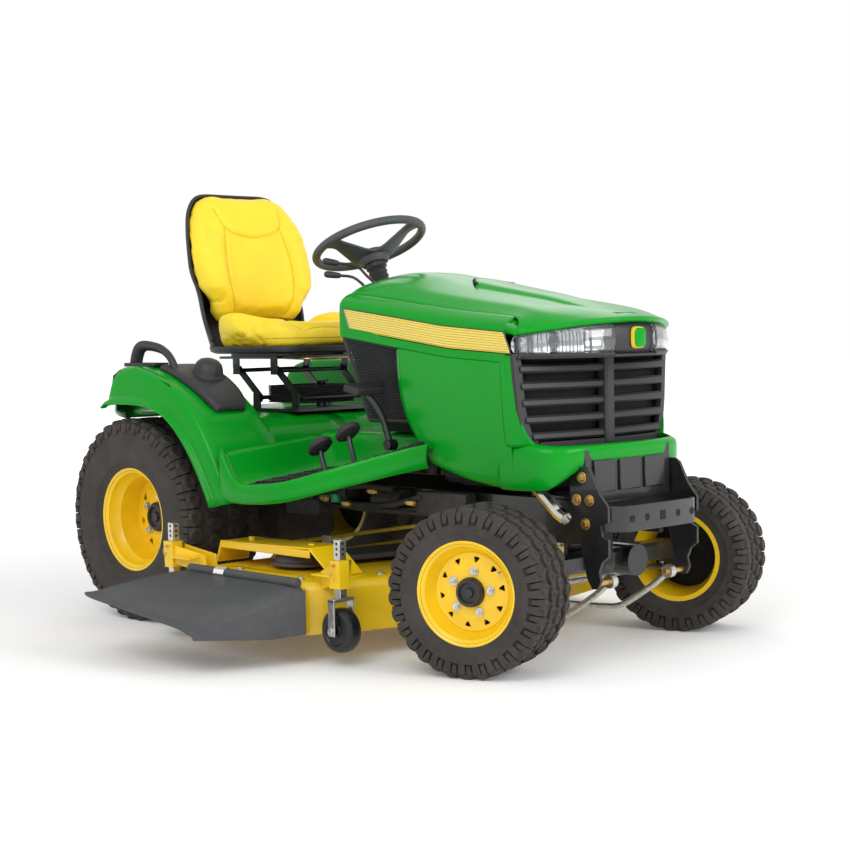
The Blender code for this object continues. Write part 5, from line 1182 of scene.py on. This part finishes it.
def groove(bm, lines, axes, depth, width, push, keep=None):
    """Presses sewn channels into the pad along lines given in two of its axes."""
    a, b = axes
    push = Vector(push)
    segs = [(np.array(p), np.array(q)) for line in lines for p, q in zip(line, line[1:])]
    for v in bm.verts:
        if keep and not keep(v):
            continue
        spot = np.array((v.co[a], v.co[b]))
        best = 9.0
        for p, q in segs:
            d = q - p
            t = min(1, max(0, float(np.dot(spot - p, d) / max(1e-12, np.dot(d, d)))))
            best = min(best, float(np.linalg.norm(spot - p - d * t)))
        if best < width * 3:
            v.co += push * (depth * exp(-(best / width) ** 2))


def arc(points, per=6):
    return [(p.x, p.y) for p in smooth_run([(x, y, 0) for x, y in points], per)]


def stitches(name, tree, lines, place, direction):
    """Raised welting laid on the pad along each line."""
    bm = bmesh.new()
    direction = Vector(direction)
    for line in lines:
        hits = [tree.ray_cast(place(p) - direction * 0.5, direction)[0] for p in line]
        run = [hit - direction * 0.0004 for hit in hits if hit is not None]
        if len(run) > 2:
            tube(bm, run, 0.0013, 6, per=0)
    piece(name, bm, SEAM, "seat")


def lean(z):
    return interp(z, [(0.94, 0.0), (1.1, 0.014), (1.25, 0.046), (1.42, 0.098)])


def back_half(z):
    return interp(z, [(0.955, 0.165), (0.99, 0.186), (1.04, 0.198), (1.085, 0.232), (1.13, 0.24), (1.2, 0.24),
                      (1.27, 0.233), (1.33, 0.216), (1.375, 0.186), (1.4, 0.145), (1.412, 0.085)])


def cushion_form(rings):
    bm = bmesh.new()
    skin(bm, [[bm.verts.new(p) for p in ring] for ring in rings], caps=True)
    return bm


def make_back_cushion():
    rings = []
    for z in (0.958, 0.966, 0.99, 1.03, 1.08, 1.14, 1.2, 1.26, 1.31, 1.35, 1.378, 1.396, 1.404):
        w = back_half(z) - 0.003
        thick = interp(z, [(0.958, 0.014), (0.98, 0.04), (1.05, 0.05), (1.3, 0.048), (1.38, 0.034),
                           (1.404, 0.01)])
        bolster = 0.042 * interp(z, [(0.96, 0.4), (1.08, 1), (1.25, 0.8), (1.38, 0.2)])
        ring = []
        for k in range(48):
            c, d = squared(2 * pi * k / 48, 0.55, 0.55)
            y = lean(z) + 0.05 - thick * d
            if d > 0:
                u = abs(w * c) / w
                y += 0.006 * (1 - u) - bolster * exp(-((u - 0.84) / 0.2) ** 2)
            ring.append((w * c, y, z))
        rings.append(ring)
    bm = stuffed(cushion_form(rings), 0.0055, 0.014)
    lines = [arc([(s * x, z) for x, z in ((0.112, 0.985), (0.135, 1.06), (0.142, 1.16), (0.128, 1.25),
                                          (0.12, 1.287))]) for s in (-1, 1)]
    lines.append(arc([(-0.14, 1.35), (-0.128, 1.3), (-0.1, 1.272), (-0.05, 1.258), (0, 1.252),
                      (0.05, 1.258), (0.1, 1.272), (0.128, 1.3), (0.14, 1.35)]))
    groove(bm, lines, (0, 2), 0.009, 0.0075, (0, 1, -0.2), lambda v: v.co.y < lean(v.co.z) + 0.035)
    tree = BVHTree.FromBMesh(bm)
    pad = piece("back_cushion", bm, VINYL, "seat", ("backrest_cushion",), sub=1)
    stitches("back_seams", tree, lines, lambda p: Vector((p[0], 0.05, p[1])), (0, 1, 0))


def base_plan(share, k):
    """Point k of 56 on the seat base's outline, drawn in towards its middle by the share."""
    c, d = squared(2 * pi * k / 56, 0.45, 0.5)
    return 0.243 * share * c, -0.195 + 0.213 * share * d


def base_top(x, y):
    side = min(1, max(0, (abs(x) - 0.135) / 0.1))
    rear = interp(y, [(-0.42, 0.016), (-0.27, 0.03), (-0.12, 0.078), (-0.03, 0.09), (0.02, 0.08)])
    front = interp(y, [(-0.42, -0.012), (-0.34, 0.01), (-0.2, 0.0), (0.02, -0.002)])
    return 0.938 + rear * side ** 1.3 + front


def make_base_cushion():
    bottom = 0.878
    rings = []
    for share, part in ((0.15, 1.0), (0.4, 1.0), (0.6, 1.0), (0.75, 1.0), (0.88, 0.98), (0.95, 0.9),
                        (0.99, 0.72), (1.0, 0.5), (0.99, 0.22), (0.96, 0.06), (0.85, 0.0), (0.4, 0.0)):
        plan = [base_plan(share, k) for k in range(56)]
        rings.append([(x, y, bottom + (base_top(x, y) - bottom) * part) for x, y in plan])
    bm = stuffed(cushion_form(rings), 0.006, 0.013)
    for v in bm.verts:
        v.co.z = max(v.co.z, 0.8745)
    inset = [arc([(-0.15, 0.01), (-0.158, -0.1), (-0.165, -0.25), (-0.16, -0.345), (-0.1, -0.368),
                  (0, -0.374), (0.1, -0.368), (0.16, -0.345), (0.165, -0.25), (0.158, -0.1), (0.15, 0.01)])]
    groove(bm, inset, (0, 1), 0.009, 0.0075, (0, 0, -1), lambda v: v.co.z > 0.91)
    tree = BVHTree.FromBMesh(bm)
    pad = piece("base_cushion", bm, VINYL, "seat", ("seat_cushion",), sub=1)
    stitches("base_seams", tree, inset, lambda p: Vector((p[0], p[1], 1.05)), (0, 0, -1))
    bm = bmesh.new()
    run = []
    for k in range(56):
        x, y = base_plan(1.0, k)
        spot = Vector((x, y, 0.906))
        out = Vector((x, y + 0.195, 0)).normalized()
        hit = tree.ray_cast(spot + out * 0.2, -out)
        run.append((hit[0] if hit[0] is not None else spot) + out * 0.0004)
    sweep(bm, run, circle(0.0016, 6), closed=True)
    piece("base_welt", bm, SEAM, "seat")


def make_seat_shell():
    rows = []
    for z, share in ((0.858, 0.8), (0.8555, 0.95), (0.862, 1.0), (0.873, 1.012), (0.88, 1.01)):
        plan = [base_plan(share, k % 56) for k in range(57)]
        rows.append([(x * 1.01, y + max(0, y + 0.1) * 0.55, z) for x, y in plan])
    sheet("seat_pan", rows, PLASTIC, "seat", ("seat_shell",), wall=0.003)
    rows = []
    for z in (0.862, 0.9, 0.95, 1.0, 1.06, 1.13, 1.2, 1.27, 1.33, 1.372, 1.392, 1.4):
        if z < 0.99:
            w = interp(z, [(0.86, 0.205), (0.99, 0.218)])
        elif z < 1.396:
            w = max(back_half(z), 0.222 if z < 1.1 else 0) - 0.004
        else:
            w = 0.116
        front = interp(z, [(0.86, 0.005), (0.95, 0.045), (1.1, 0.072), (1.3, 0.066), (1.415, 0.07)])
        deep = interp(z, [(0.86, 0.085), (1.0, 0.11), (1.2, 0.118), (1.35, 0.1), (1.415, 0.076)])
        row = []
        for u in (-1.0, -0.985, -0.93, -0.8, -0.55, -0.25, 0.0, 0.25, 0.55, 0.8, 0.93, 0.985, 1.0):
            t = min(1, (1 - abs(u)) / 0.35) ** 0.45
            row.append((u * w, lean(z) + front + (deep + 0.018 - front) * t, z))
        rows.append(row)
    rows.append([(x * 0.93, y - 0.01, 1.403) for x, y, z in rows[-1]])
    sheet("seat_back_shell", rows, PLASTIC, "seat", up=(1, 1), wall=0.005, sub=2)
    bm = bmesh.new()
    top = [Vector((x, lean(1.4) + 0.066, 1.398)) for x in np.linspace(-0.115, 0.115, 5)]
    edge = [Vector(row[0]) for row in rows[1:-2]] + top + [Vector(row[-1]) for row in rows[-3:0:-1]]
    sweep(bm, smooth_run(edge, 3), circle(0.0065, 8))
    piece("seat_back_lip", bm, PLASTIC, "seat")


def make_suspension():
    bm = bmesh.new()
    turns = [2 * pi * k / 10 for k in range(60)]
    chain(bm, [Vector((0.019 * cos(a), -0.295 + 0.019 * sin(a), 0.685 + k * 0.0013))
               for k, a in enumerate(turns)], 0.004, 6)
    stick(bm, (0, -0.295, 0.678), (0, -0.295, 0.688), 0.023, 24)
    piece("suspension_spring", bm, BLACK, "tractor")
    bm = bmesh.new()
    for k in range(9):
        lathe(bm, [(0.14, 0), (0.146, 0.003), (0.14, 0.006), (0.136, 0.003)], 4,
              placed((0, -0.24, 0.69 + k * 0.0065), 45, "Z"))
    piece("suspension_skirt", bm, PLASTIC, "tractor")
    bm = bmesh.new()
    tube(bm, [(-0.15, -0.24, 0.842), (-0.16, -0.33, 0.84), (-0.15, -0.405, 0.838),
              (-0.05, -0.425, 0.838), (0.05, -0.425, 0.838), (0.12, -0.4, 0.838)], 0.004, 10)
    piece("slide_handle", bm, GOLD, "seat_carrier")


# ---- mower deck ----
DECK_PLAN = [(-0.685, -0.52), (-0.685, -0.94), (-0.655, -0.985), (-0.56, -1.04), (-0.33, -1.095),
             (-0.215, -1.15), (-0.15, -1.168), (0.15, -1.168), (0.215, -1.15), (0.33, -1.095),
             (0.56, -1.04), (0.655, -0.985), (0.685, -0.93), (0.685, -0.52), (0.655, -0.455),
             (0.6, -0.43), (-0.6, -0.43), (-0.655, -0.455)]
DECK_TOP = 0.2225


def deck_ring(inset, z):
    ring = []
    for k, p in enumerate(DECK_PLAN):
        p, a, b = Vector(p), Vector(DECK_PLAN[k - 1]), Vector(DECK_PLAN[(k + 1) % len(DECK_PLAN)])
        run = ((b - p).normalized() + (p - a).normalized()).normalized()
        out = Vector((-run.y, run.x))
        if out.dot(p - Vector((0, -0.78))) < 0:
            out = -out
        ring.append((p.x - out.x * inset, p.y - out.y * inset, z))
    return ring


def make_deck():
    bm = bmesh.new()
    rows = [deck_ring(i, z) for i, z in ((0.004, 0.074), (0.0, 0.077), (0.0, 0.084), (0.004, 0.088),
                                         (0.005, 0.15), (0.006, 0.196), (0.01, 0.211), (0.024, 0.2205),
                                         (0.04, 0.222), (0.12, DECK_TOP))]
    grid(bm, [row + [row[0]] for row in rows])
    bmesh.ops.remove_doubles(bm, verts=bm.verts, dist=2e-05)
    edge = [e for e in bm.edges if e.is_boundary and all(abs(v.co.z - DECK_TOP) < 1e-6 for v in e.verts)]
    bmesh.ops.holes_fill(bm, edges=edge)
    face_up(bm, 2, 1)
    outlet = []
    for face in bm.faces:
        middle = face.calc_center_median()
        if middle.x < -0.675 and -0.94 < middle.y < -0.52 and middle.z < 0.197:
            outlet.append(face)
    bmesh.ops.delete(bm, geom=outlet, context="FACES")
    piece("deck_pan", bm, YELLOW, "deck", ("deck_shell",), wall=0.004, fix=False, angle=50)
    make_gauge_arms()
    make_gauges()
    bm = bmesh.new()
    for s in (-1, 1):
        outline = [(-0.415, 0.224), (-0.44, 0.291), (-0.86, 0.301), (-0.96, 0.224), (-0.95, 0.224),
                   (-0.855, 0.295), (-0.446, 0.285), (-0.427, 0.224)]
        x = s * 0.49
        prism(bm, outline, x - 0.06, x + 0.06, SIDE_ON)
        for e in (-0.058, 0.058):
            brick(bm, (x + e - 0.002, -0.86, 0.27), (x + e + 0.002, -0.44, 0.293))
        for y in (-0.52, -0.8):
            stick(bm, (x, y, 0.284), (x, y, 0.304), 0.01, 6)
    brick(bm, (-0.44, -0.446, 0.252), (0.44, -0.425, 0.262))
    piece("deck_straps", bm, YELLOW, "deck", ("deck_bridge",), bevel=0.002)
    for name, s in SIDES:
        bm = bmesh.new()
        lathe(bm, [(0.0, 0.054), (0.018, 0.054), (0.022, 0.05), (0.058, 0.047), (0.08, 0.04),
                   (0.09, 0.026), (0.094, 0.012), (0.104, 0.009), (0.105, 0.0), (0.0, 0.0)], 48,
              Matrix.Translation((s * 0.44, -0.715, 0.233)), closed=False)
        prism(bm, [(s * 0.36, -0.64), (s * 0.36, -0.79), (s * 0.1, -0.86), (0, -0.93), (0, -0.7)],
              0.236, 0.252)
        piece(f"belt_cover_{name}", bm, GREY, "deck", ("belt_cover",), bevel=0.003, angle=30)
    bm = bmesh.new()
    for s in (-1, 1):
        for y, x in ((-1.0, 0.4), (-0.6, 0.6), (-0.46, 0.35), (-1.12, 0.13), (-0.9, 0.62)):
            stick(bm, (s * x, y, 0.221), (s * x, y, 0.23), 0.009, 6)
            stick(bm, (s * x, y, 0.22), (s * x, y, 0.2245), 0.014, 20)
        brick(bm, (s * 0.106 - 0.005, -1.184, 0.2), (s * 0.106 + 0.005, -1.15, 0.252))
        brick(bm, (s * 0.256 - 0.005, -0.62, 0.218), (s * 0.256 + 0.005, -0.58, 0.29))
    piece("deck_bolts", bm, ZINC, "deck", bevel=0.001)


def make_gauge_arms():
    """Twin plates out to each gauge wheel, with a box for its stem at the end."""
    bm = bmesh.new()
    for name, (x, y) in GAUGES.items():
        inner = Vector((copysign(0.592, x), -0.985 if name.startswith("front") else -0.45, 0.226))
        for side in (-1, 1):
            a, b = (p + Vector((side * 0.02, 0, 0)) for p in (inner, Vector((x, y, 0.262))))
            rise = [(a, -0.0276), (b, -0.0322), (b, 0.026), (a, 0.026)]
            skin(bm, [[bm.verts.new(p + Vector((side * half, 0, dz))) for p, dz in rise]
                      for half in (0.003, -0.003)], caps=True)
        brick(bm, (x - 0.0225, min(inner.y, y), 0.244), (x + 0.0225, max(inner.y, y), 0.249))
        for dx, dy in circle(0.0175, 4):
            wide, deep = (0.0035, 0.021) if abs(dx) > 0.01 else (0.021, 0.0035)
            brick(bm, (x + dx - wide, y + dy - deep, 0.214), (x + dx + wide, y + dy + deep, 0.294))
    piece("gauge_arms", bm, YELLOW, "deck", bevel=0.0015)


def make_gauges():
    tread = [(0.0085, 0.024), (0.018, 0.024), (0.02, 0.02), (0.04, 0.02), (0.043, 0.024),
             (0.052, 0.0245), (0.058, 0.021), (0.0615, 0.014), (0.0625, 0.006)]
    for name, (x, y) in GAUGES.items():
        turned(f"caster_{name}", tread + [(r, -h) for r, h in reversed(tread)], 56,
               placed((x, y, 0.098), 90, "Y"), SLICK, f"caster_{name}", (f"gauge_wheel_{name}",),
               closed=True, angle=30)
        bm = bmesh.new()
        brick(bm, (x - 0.0125, y - 0.0125, 0.186), (x + 0.0125, y + 0.0125, 0.35))
        brick(bm, (x - 0.038, y - 0.014, 0.178), (x + 0.038, y + 0.014, 0.188))
        for e in (-1, 1):
            brick(bm, (x + e * 0.035 - 0.003, y - 0.013, 0.084), (x + e * 0.035 + 0.003, y + 0.013, 0.186))
            stick(bm, (x + e * 0.036, y, 0.098), (x + e * 0.044, y, 0.098), 0.011, 6)
        piece(f"stem_{name}", bm, ZINC, f"fork_{name}", (f"gauge_fork_{name}",), bevel=0.0015)
        # Rods in painted shade through the stem where its holes are.
        bm = bmesh.new()
        for z in (0.31, 0.325, 0.34):
            stick(bm, (x - 0.0128, y, z), (x + 0.0128, y, z), 0.0042, 12)
            stick(bm, (x, y - 0.0128, z), (x, y + 0.0128, z), 0.0042, 12)
        piece(f"stem_hole_shade_{name}", bm, PAINTED_SHADE, f"fork_{name}")
        bm = bmesh.new()
        s = copysign(1, x)
        stick(bm, (x - 0.032, y, 0.28), (x + 0.032, y, 0.28), 0.004, 12)
        tube(bm, [(x + s * out, y, z) for out, z in ((0.03, 0.28), (0.04, 0.27), (0.036, 0.25),
                                                     (0.03, 0.262))], 0.0016, 8)
        piece(f"stem_pin_{name}", bm, GOLD, f"fork_{name}")


def make_chute():
    hx, hz = -0.7, 0.226
    rows = []
    for v in np.linspace(0, 1, 15):
        y = -0.5 - 0.52 * v
        row = []
        for u in np.linspace(0, 1, 12):
            lift = 0.052 * (y + 1.02) / 0.52
            z = hz - 0.004 + (0.121 + lift - hz) * u + 0.008 * sin(pi * u)
            z += 0.01 * exp(-((v - 0.02) / 0.03) ** 2) * min(1, u * 6)
            z += 0.012 * exp(-((u - 1.0) / 0.05) ** 2)
            z -= 0.014 * max(0.0, (v - 0.95) / 0.05)
            row.append((hx - 0.325 * u, y + 0.1 * u, z))
        rows.append(row)
    sheet("chute_hood", rows, GREY, "discharge", ("chute",), up=(2, 1), wall=0.005, sub=1, angle=60)
    bm = bmesh.new()
    stick(bm, (hx, -0.488, hz + 0.001), (hx, -0.985, hz + 0.001), 0.0145, 24)
    piece("chute_roll", bm, GREY, "discharge", bevel=0.002)
    bm = bmesh.new()
    outline = [(-0.702, 0.212), (-0.85, 0.166), (-1.02, 0.116), (-1.015, 0.102), (-0.8, 0.082),
               (-0.702, 0.088)]
    skin(bm, [[bm.verts.new((x, y + (hx - x) * 0.308, z)) for x, z in outline] for y in (-1.0205, -1.0145)],
         caps=True)
    piece("chute_skirt", bm, GREY, "discharge", bevel=0.001)
    bm = bmesh.new()
    turns = [2 * pi * k / 8 for k in range(81)]
    chain(bm, [Vector((hx + 0.0175 * cos(a), -0.62 - k * 0.0006, hz + 0.0175 * sin(a)))
               for k, a in enumerate(turns)], 0.0018, 5)
    piece("chute_spring", bm, ZINC, "discharge")


# ---- front brackets and draft rod ----
def make_front():
    for name, s in SIDES:
        outline = [(-1.548, 0.545), (-1.56, 0.42), (-1.59, 0.33), (-1.612, 0.24), (-1.63, 0.212),
                   (-1.65, 0.214), (-1.662, 0.235), (-1.655, 0.262), (-1.668, 0.29), (-1.69, 0.305),
                   (-1.69, 0.352), (-1.668, 0.36), (-1.664, 0.388), (-1.69, 0.398), (-1.69, 0.44),
                   (-1.66, 0.475), (-1.63, 0.535), (-1.615, 0.545)]
        bm = bmesh.new()
        prism(bm, outline, s * 0.196 - 0.0045, s * 0.196 + 0.0045, SIDE_ON)
        piece(f"bracket_{name}", bm, BLACK, "tractor", (f"front_bracket_{name}",), bevel=0.0015)
        bm = bmesh.new()
        for y, z in ((-1.599, 0.516), (-1.58, 0.455), (-1.625, 0.455), (-1.61, 0.39)):
            stick(bm, (s * 0.199, y, z), (s * 0.203, y, z), 0.016, 24)
            stick(bm, (s * 0.199, y, z), (s * 0.211, y, z), 0.011, 6)
        piece(f"bracket_bolts_{name}", bm, GOLD, "tractor", bevel=0.001)
    corner = [(0.135, -1.7185), (0.15, -1.7135), (0.172, -1.692), (0.188, -1.668), (0.191, -1.64)]
    plan = [(-x, y) for x, y in reversed(corner)] + corner
    inner = [(x * 0.955, y + 0.009) for x, y in plan]
    rows = [[(x, y, z) for x, y in run] for run, z in
            ((plan, 0.3695), (plan, 0.4405), (inner, 0.4405), (inner, 0.3695))]
    sheet("crossbar", rows, BLACK, "tractor", ("front_crossbar",), close=True, bevel=0.002)
    bm = bmesh.new()
    for low, high in (((-0.186, -1.6, 0.44), (0.186, -1.585, 0.59)),
                      ((-0.186, -1.59, 0.45), (0.186, -1.44, 0.462)),
                      ((-0.186, -1.575, 0.328), (-0.17, -1.38, 0.44)),
                      ((0.17, -1.575, 0.328), (0.186, -1.38, 0.44)),
                      ((-0.17, -1.395, 0.328), (0.17, -1.385, 0.46))):
        brick(bm, low, high)
    for x in (-0.11, 0.0, 0.11):
        brick(bm, (x - 0.045, -1.607, 0.47), (x + 0.045, -1.598, 0.56))
    piece("front_frame_plate", bm, BLACK, "tractor", bevel=0.003)
    # Discs and a square in painted shade where the crossbar's holes are.
    bm = bmesh.new()
    for x in (-0.131, -0.068, 0.068, 0.131):
        stick(bm, (x, -1.7188, 0.405), (x, -1.7165, 0.405), 0.0105, 24)
    brick(bm, (-0.013, -1.7188, 0.392), (0.013, -1.7165, 0.418))
    piece("crossbar_hole_shade", bm, PAINTED_SHADE, "tractor")
    eye_y, eye_z = -1.637, 0.227
    half = [(0.129, eye_y, eye_z), (0.129, eye_y + 0.028, eye_z - 0.022),
            (0.129, eye_y + 0.06, eye_z - 0.046),
            (0.127, -1.47, 0.115), (0.125, -1.4, 0.103), (0.121, -1.33, 0.1), (0.108, -1.268, 0.1),
            (0.06, -1.245, 0.1)]
    link, pins = bmesh.new(), bmesh.new()
    tube(link, [(-x, y, z) for x, y, z in half] + half[::-1], 0.009, 16)
    for s in (-1, 1):
        stick(link, (s * 0.129 - 0.01, eye_y, eye_z), (s * 0.129 + 0.01, eye_y, eye_z), 0.019, 24)
        stick(pins, (s * 0.108, eye_y, eye_z), (s * 0.192, eye_y, eye_z), 0.008, 16)
    piece("draft_link", link, ZINC, "draft", ("draft_rod",), angle=50)
    piece("draft_pins", pins, GOLD, "tractor", bevel=0.001)


def make_underbody():
    """Hoses, fittings and castings that show below the floor, and discs in painted shade behind the rims."""
    for (end, side), body in BODY_OF_WHEEL.items():
        turn = wheel_matrix(side, end == "front")
        deep, radius = (-0.06, 0.118) if end == "front" else (-0.136, 0.138)
        # A disc in painted shade behind the rim, seen through its vents.
        bm = bmesh.new()
        stick(bm, turn @ Vector((0, 0, deep - 0.002)), turn @ Vector((0, 0, deep)), radius, 48)
        piece(f"{end}_{side}_shade_disc", bm, PAINTED_SHADE, body)
    bm = bmesh.new()
    for a, b, r in (((-0.235, -0.62, 0.43), (-0.235, -0.7, 0.43), 0.034),
                    ((-0.215, -0.92, 0.41), (-0.215, -0.8, 0.41), 0.04),
                    ((-0.2, -0.5, 0.4), (-0.26, -0.5, 0.4), 0.04)):
        stick(bm, a, b, r, 28)
    brick(bm, (-0.27, -0.58, 0.352), (-0.2, -0.42, 0.4))
    brick(bm, (-0.25, -1.2, 0.38), (-0.2, -1.0, 0.45))
    piece("underbody_castings", bm, CAST, "tractor", bevel=0.004)
    bm = bmesh.new()
    for path in ([(-0.245, -1.02, 0.435), (-0.262, -0.9, 0.404), (-0.255, -0.74, 0.396),
                  (-0.24, -0.6, 0.405), (-0.235, -0.48, 0.4)],
                 [(-0.225, -1.1, 0.41), (-0.25, -0.95, 0.388), (-0.25, -0.76, 0.384),
                  (-0.235, -0.56, 0.392)],
                 [(-0.25, -0.9, 0.45), (-0.262, -0.78, 0.455), (-0.25, -0.66, 0.44)]):
        tube(bm, path, 0.009, 14)
    piece("underbody_hoses", bm, RUBBER, "tractor")
    bm = bmesh.new()
    for y, z in ((-0.985, 0.415), (-0.7, 0.396), (-0.6, 0.405), (-0.82, 0.44)):
        stick(bm, (-0.255, y - 0.014, z), (-0.255, y + 0.014, z), 0.013, 6)
        stick(bm, (-0.255, y - 0.022, z), (-0.255, y + 0.022, z), 0.01, 16)
    piece("underbody_fittings", bm, GOLD, "tractor", bevel=0.001)
    bm = bmesh.new()
    stick(bm, (-0.262, -0.655, 0.398), (-0.262, -0.655, 0.425), 0.017, 20)
    piece("reservoir_cap", bm, CAP_GREEN, "tractor", bevel=0.003)


# ---- everything together ----
studio()
make_hood()
make_grille()
make_lamps()
for side_name, _ in SIDES:
    for end_name in ("front", "rear"):
        tyre(end_name, side_name)
        rim(end_name, side_name)
make_fenders()
make_floor()
make_consoles()
make_dash()
make_steering()
make_levers()
make_pedals()
make_back_cushion()
make_base_cushion()
make_seat_shell()
make_suspension()
make_deck()
make_chute()
make_front()
make_underbody()
PLAIN = {
    BLACK: ["main_frame", "front_axle", "seat_base", "suspension_arms_front", "suspension_arms_rear",
            "seat_frame"],
    PLASTIC: ["radiator"],
    ZINC: ["tie_rod"],
    CHROME: ["exhaust_pipe"],
    CAST: ["transaxle", "engine", "knuckle_left", "knuckle_right", "blade_centre", "blade_left",
           "blade_right"],
}
for paint, names in PLAIN.items():
    repaint(names, paint)
